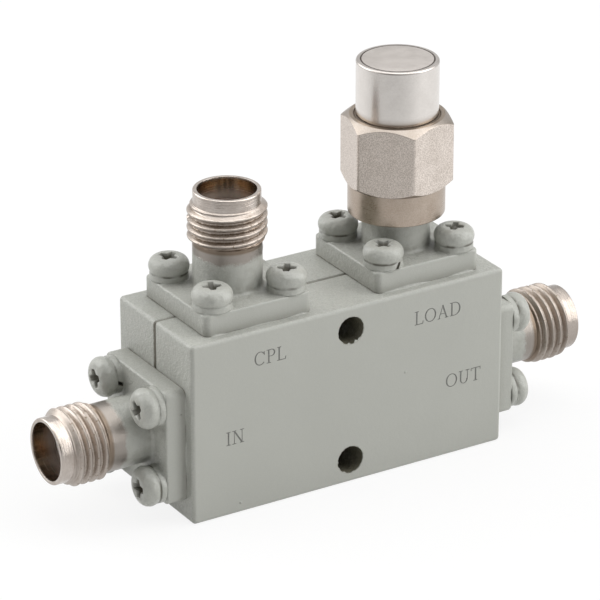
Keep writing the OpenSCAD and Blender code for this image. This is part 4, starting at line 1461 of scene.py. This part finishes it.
disc_profile = rounded([
    (0, ROD_BORE_TOP, 0), (ROD_BORE_R, ROD_BORE_TOP, 0), (ROD_BORE_R, DISC_STEM_BOTTOM, 0),
    (DISC_STEM_R, DISC_STEM_BOTTOM, 0), (DISC_STEM_R, CUP_FLOOR, 0), (DISC_R, CUP_FLOOR, 0),
    (DISC_R, LOAD_TOP, HAIRLINE_R), (DISC_R * 0.66, LOAD_TOP, 0), (DISC_R * 0.33, LOAD_TOP, 0),
    (0, LOAD_TOP, 0)])


def disc_face(r, z):
    """Whether a face of the disc lies on its rounded edge, where the hairline's soil and painted shade are.
    """
    return r > DISC_R - HAIRLINE_R and LOAD_TOP - HAIRLINE_R < z < LOAD_TOP - TOLERANCE


disc_mesh = turned_mesh("load_disc_mesh", disc_profile, LOAD_STEPS)
mark_faces(disc_mesh, disc_face)
add_load_piece("blasted_end_disc", disc_mesh, [disc_steel, hairline_shade_grime], ["load_end_cap"])

# Load nut
# The steel coupling nut that draws the load on to the port: a hexagon with blasted flats, turned to a bevel
# at both ends, and a plain turned collar below, its lower rim rounded.
NUT_HALF_AF = 4.0 * MM
NUT_TURN = math.radians(15)
NUT_EDGE_R = 0.30 * MM
HEX_BOTTOM = 7.05 * MM
COLLAR_BOTTOM = 4.55 * MM
COLLAR_R = 3.9 * MM
COLLAR_RIM_R = 0.12 * MM
BEVEL_SLOPE = 0.75
LOW_BEVEL_R = 3.95 * MM
TOP_BEVEL_R = 3.8 * MM
NUT_BORE_R = 3.46 * MM
NUT_THREAD_R = 3.25 * MM
NUT_STEP_H = 9.99 * MM
NUT_GROOVE_R = 3.68 * MM
NUT_GROOVE_TOP = 11.675 * MM
NUT_GROOVE_LOW = 11.255 * MM
BEVEL_EDGE_R = 0.07 * MM
FLAT_STEPS = 18
CORNER_STEPS = 8
# Places of the flats' and the collar's finish among the nut's materials
FLAT_FINISH = 1
COLLAR_FINISH = 2


def hexagon_angles():
    """Angles round the nut from one flat's middle to the next, closer together on the rounded corners."""
    corner_start = math.atan((NUT_HALF_AF - NUT_EDGE_R) * math.tan(math.radians(30)) / NUT_HALF_AF)
    half = [corner_start * i / FLAT_STEPS for i in range(FLAT_STEPS)]
    rest = math.radians(30) - corner_start
    half += [corner_start + rest * i / CORNER_STEPS for i in range(CORNER_STEPS + 1)]
    offsets = [-angle for angle in reversed(half[1:-1])] + half
    flats = range(6)
    return [NUT_TURN + math.radians(30 + 60 * flat) + offset for flat in flats for offset in offsets]


def hexagon_radius(angle):
    """Distance of the nut's side from its axis, with the six corners rounded."""
    from_flat = (angle - NUT_TURN) % math.radians(60) - math.radians(30)
    from_corner = math.radians(30) - abs(from_flat)
    tangent = (NUT_HALF_AF - NUT_EDGE_R) * math.tan(math.radians(30))
    if NUT_HALF_AF * math.tan(abs(from_flat)) <= tangent:
        return NUT_HALF_AF / math.cos(from_flat)
    centre = (NUT_HALF_AF - NUT_EDGE_R) / math.cos(math.radians(30))
    return centre * math.cos(from_corner) + math.sqrt(NUT_EDGE_R**2 - (centre * math.sin(from_corner)) ** 2)


def nut_profile(angle):
    """Section of the nut at one angle, from the foot of its collar over the hexagon to the bore."""
    side = hexagon_radius(angle)
    low = HEX_BOTTOM + BEVEL_SLOPE * (side - LOW_BEVEL_R)
    high = NUT_TOP - BEVEL_SLOPE * (side - TOP_BEVEL_R)
    return rounded([
        (NUT_THREAD_R, COLLAR_BOTTOM, 0), (COLLAR_R, COLLAR_BOTTOM, COLLAR_RIM_R), (COLLAR_R, HEX_BOTTOM, 0),
        (LOW_BEVEL_R, HEX_BOTTOM, 0), (side, low, 0.02 * MM), (side, high, BEVEL_EDGE_R),
        (TOP_BEVEL_R, NUT_TOP, BEVEL_EDGE_R), (NUT_BORE_R, NUT_TOP, 0.06 * MM),
        (NUT_BORE_R, NUT_GROOVE_TOP, 0), (NUT_GROOVE_R, NUT_GROOVE_TOP, 0),
        (NUT_GROOVE_R, NUT_GROOVE_LOW, 0), (NUT_BORE_R, NUT_GROOVE_LOW, 0),
        (NUT_BORE_R, NUT_STEP_H, 0), (NUT_THREAD_R, NUT_STEP_H, 0)], steps=4)


def nut_mesh():
    """The nut as one closed shell, its blasted flats and its collar marked apart from the turned faces."""
    mesh = closed_ring_mesh("load_nut_mesh", nut_profile, hexagon_angles())
    for face in mesh.polygons:
        upright = abs(face.normal.z) < 0.2
        outside = face.center.xy.length > NUT_HALF_AF * 0.99
        if face.center.z < HEX_BOTTOM:
            face.material_index = COLLAR_FINISH
        elif upright and outside:
            face.material_index = FLAT_FINISH
    return mesh


turned_steel = load_steel(
    "turned_steel", light=(0.30, 0.262, 0.225, 1), dark=(0.22, 0.187, 0.156, 1), roughness=0.30, grain=0.8,
    rings=0.3)
blasted_steel = load_steel(
    "blasted_steel", light=(0.82, 0.745, 0.685, 1), dark=(0.49, 0.43, 0.38, 1), roughness=0.34, grain=2.8,
    rings=0.0)
collar_steel = load_steel(
    "collar_steel", light=(0.425, 0.342, 0.27, 1), dark=(0.345, 0.272, 0.208, 1), roughness=0.22, grain=0.2,
    rings=0.5)
add_load_piece("bevelled_load_nut", nut_mesh(), [turned_steel, blasted_steel, collar_steel], ["load_nut"])

# Dirt and painted shade in the load's gap
# A dark ring between the nut's bore and the body, a little below the nut's top: dust and grease that dried
# there, and painted shade in the gap.
GAP_FILL_LOW = NUT_TOP - 0.45 * MM
GAP_FILL_SINK = 0.01 * MM
gap_fill_profile = [
    (LOAD_R - GAP_FILL_SINK, GAP_FILL_LOW), (NUT_BORE_R + GAP_FILL_SINK, GAP_FILL_LOW),
    (NUT_BORE_R + GAP_FILL_SINK, NUT_TOP - 0.13 * MM), (LOAD_R - GAP_FILL_SINK, NUT_TOP - 0.06 * MM)]
gap_mesh = closed_ring_mesh("nut_gap_mesh", lambda angle: gap_fill_profile, even_angles(LOAD_STEPS))
nut_gap_shade_and_grime = shade_and_grime("nut_gap_shade_and_grime", (0.05, 0.036, 0.024, 1), (0.17, 0.125, 0.085, 1))
add_load_piece("nut_gap_shade_and_grime_ring", gap_mesh, [nut_gap_shade_and_grime], [])

# Floor, light and camera
# A white floor before a white backdrop, under four soft lamps, of which the left one is faint. Two dark cards
# stand where the steel mirrors them. The floor is white to the lens; in the steel it glows white, with
# painted shade that dims it towards the camera's side, and it still takes a faint shadow.
FLOOR_HALF = 1.5
FLOOR_COLOUR = (0.86, 0.86, 0.85, 1)
WHITE = (1, 1, 1, 1)
AMBIENT = 0.11
SHOWN_WHITE = 0.86
MIRRORED_WHITE = 0.92
MIRRORED_DIMMING = 0.38
DIM_SIDE = Vector((-0.78, -0.62, 0))
DIM_START = -0.01
DIM_END = 0.09
MIRRORED_BACKDROP = 0.75
MIDDLE = Vector((0, 0, 0.014))
CARD_COLOUR = (0.06, 0.05, 0.045, 1)
CAMERA_AZIMUTH = math.radians(-31.424)
CAMERA_ELEVATION = math.radians(24.430)
CAMERA_DISTANCE = 311.178 * MM
CAMERA_TARGET = Vector((-1.176 * MM, 0, 13.990 * MM))
CAMERA_LENS = 235.745
CAMERA_SENSOR = 36.0


def camera_share(tree, seen, mirrored):
    """How much of the plain white shows: to the lens and through glass, and in reflections."""
    path = put(tree, "ShaderNodeLightPath").outputs
    direct = calc(tree, "MAXIMUM", path["Is Camera Ray"], path["Is Transmission Ray"])
    shown = times(tree, direct, seen)
    glossy = times(tree, path["Is Glossy Ray"], mirrored)
    return calc(tree, "MAXIMUM", shown, glossy)


floor_shape = bmesh.new()
bmesh.ops.create_grid(floor_shape, x_segments=1, y_segments=1, size=FLOOR_HALF)
floor = loose_object("floor", mesh_of("floor", floor_shape))
floor_material, floor_tree, floor_shader = new_material("floor_white")
floor_shader.inputs["Base Color"].default_value = FLOOR_COLOUR
floor_shader.inputs["Roughness"].default_value = 0.9
floor_shader.inputs["Specular IOR Level"].default_value = 0.0
floor_place = object_place(floor_tree)
# Painted shade in the floor's reflection: its glow in the steel dims towards the camera's side
towards_dim = put(floor_tree, "ShaderNodeVectorMath", {0: floor_place, 1: DIM_SIDE}, operation="DOT_PRODUCT")
dimming = ramp(floor_tree, towards_dim.outputs["Value"], DIM_START, DIM_END)
mirrored_loss = times(floor_tree, dimming, MIRRORED_DIMMING)
in_mirror = put(floor_tree, "ShaderNodeLightPath").outputs["Is Glossy Ray"]
floor_glow = left_over(floor_tree, times(floor_tree, in_mirror, mirrored_loss))
glow = put(floor_tree, "ShaderNodeEmission", {"Color": WHITE, "Strength": floor_glow}).outputs[0]
floor_share = camera_share(floor_tree, SHOWN_WHITE, MIRRORED_WHITE)
floor_mix = put(floor_tree, "ShaderNodeMixShader", {0: floor_share, 1: floor_shader.outputs[0], 2: glow})
floor_tree.links.new(floor_mix.outputs[0], floor_tree.nodes["Material Output"].inputs["Surface"])
floor.data.materials.append(floor_material)

world = bpy.data.worlds.new("studio")
bpy.context.scene.world = world
world.use_nodes = True
sky = world.node_tree
room = put(sky, "ShaderNodeBackground", {"Color": WHITE, "Strength": AMBIENT}).outputs[0]
backdrop = put(sky, "ShaderNodeBackground", {"Color": WHITE, "Strength": 1.0}).outputs[0]
sky_share = camera_share(sky, 1.0, MIRRORED_BACKDROP)
sky_mix = put(sky, "ShaderNodeMixShader", {0: sky_share, 1: room, 2: backdrop})
sky.links.new(sky_mix.outputs[0], sky.nodes["World Output"].inputs["Surface"])


def softbox(name, place, width, height, power):
    """A rectangular lamp that looks at the middle of the coupler."""
    lamp = bpy.data.lights.new(name, "AREA")
    lamp.shape = "RECTANGLE"
    lamp.size = width
    lamp.size_y = height
    lamp.energy = power
    holder = bpy.data.objects.new(name, lamp)
    holder.location = place
    holder.rotation_euler = (MIDDLE - Vector(place)).to_track_quat("-Z", "Y").to_euler()
    holder.visible_camera = False
    bpy.context.scene.collection.objects.link(holder)


softbox("softbox_top", (0.06, 0.02, 0.45), width=0.60, height=0.50, power=1.86)
softbox("softbox_right", (0.36, -0.26, 0.24), width=0.44, height=0.50, power=1.98)
softbox("softbox_back", (-0.30, 0.36, 0.28), width=0.50, height=0.46, power=2.0)
softbox("softbox_left", (-0.46, -0.04, 0.20), width=0.40, height=0.34, power=0.15)

back = Vector((
    math.sin(CAMERA_AZIMUTH) * math.cos(CAMERA_ELEVATION),
    -math.cos(CAMERA_AZIMUTH) * math.cos(CAMERA_ELEVATION),
    math.sin(CAMERA_ELEVATION)))


def dark_card(name, direction, distance, width, height):
    """A dark panel beyond the lens's view that gives the steel something to mirror."""
    shape = bmesh.new()
    bmesh.ops.create_grid(shape, x_segments=1, y_segments=1, size=0.5)
    card = mesh_of(name, shape)
    turn = (-direction).to_track_quat("-Z", "Y").to_matrix().to_4x4()
    size = Matrix.Diagonal((width, height, 1, 1))
    card.transform(Matrix.Translation(MIDDLE + direction * distance) @ turn @ size)
    panel = loose_object(name, card)
    material, _, shader = new_material(name)
    shader.inputs["Base Color"].default_value = CARD_COLOUR
    shader.inputs["Roughness"].default_value = 0.9
    card.materials.append(material)
    panel.visible_camera = False
    panel.visible_shadow = False
    panel.visible_diffuse = False


dark_card("dark_camera_side", back, distance=0.60, width=0.42, height=0.30)
left_side = Vector((-0.86, -0.46, 0.22)).normalized()
dark_card("dark_left_side", left_side, distance=0.50, width=0.34, height=0.26)

camera_data = bpy.data.cameras.new("camera")
camera_data.lens = CAMERA_LENS
camera_data.sensor_width = CAMERA_SENSOR
camera = bpy.data.objects.new("camera", camera_data)
camera.location = CAMERA_TARGET + back * CAMERA_DISTANCE
camera.rotation_euler = (-back).to_track_quat("-Z", "Y").to_euler()
bpy.context.scene.collection.objects.link(camera)
bpy.context.scene.camera = camera
bpy.context.scene.view_settings.view_transform = "Standard"
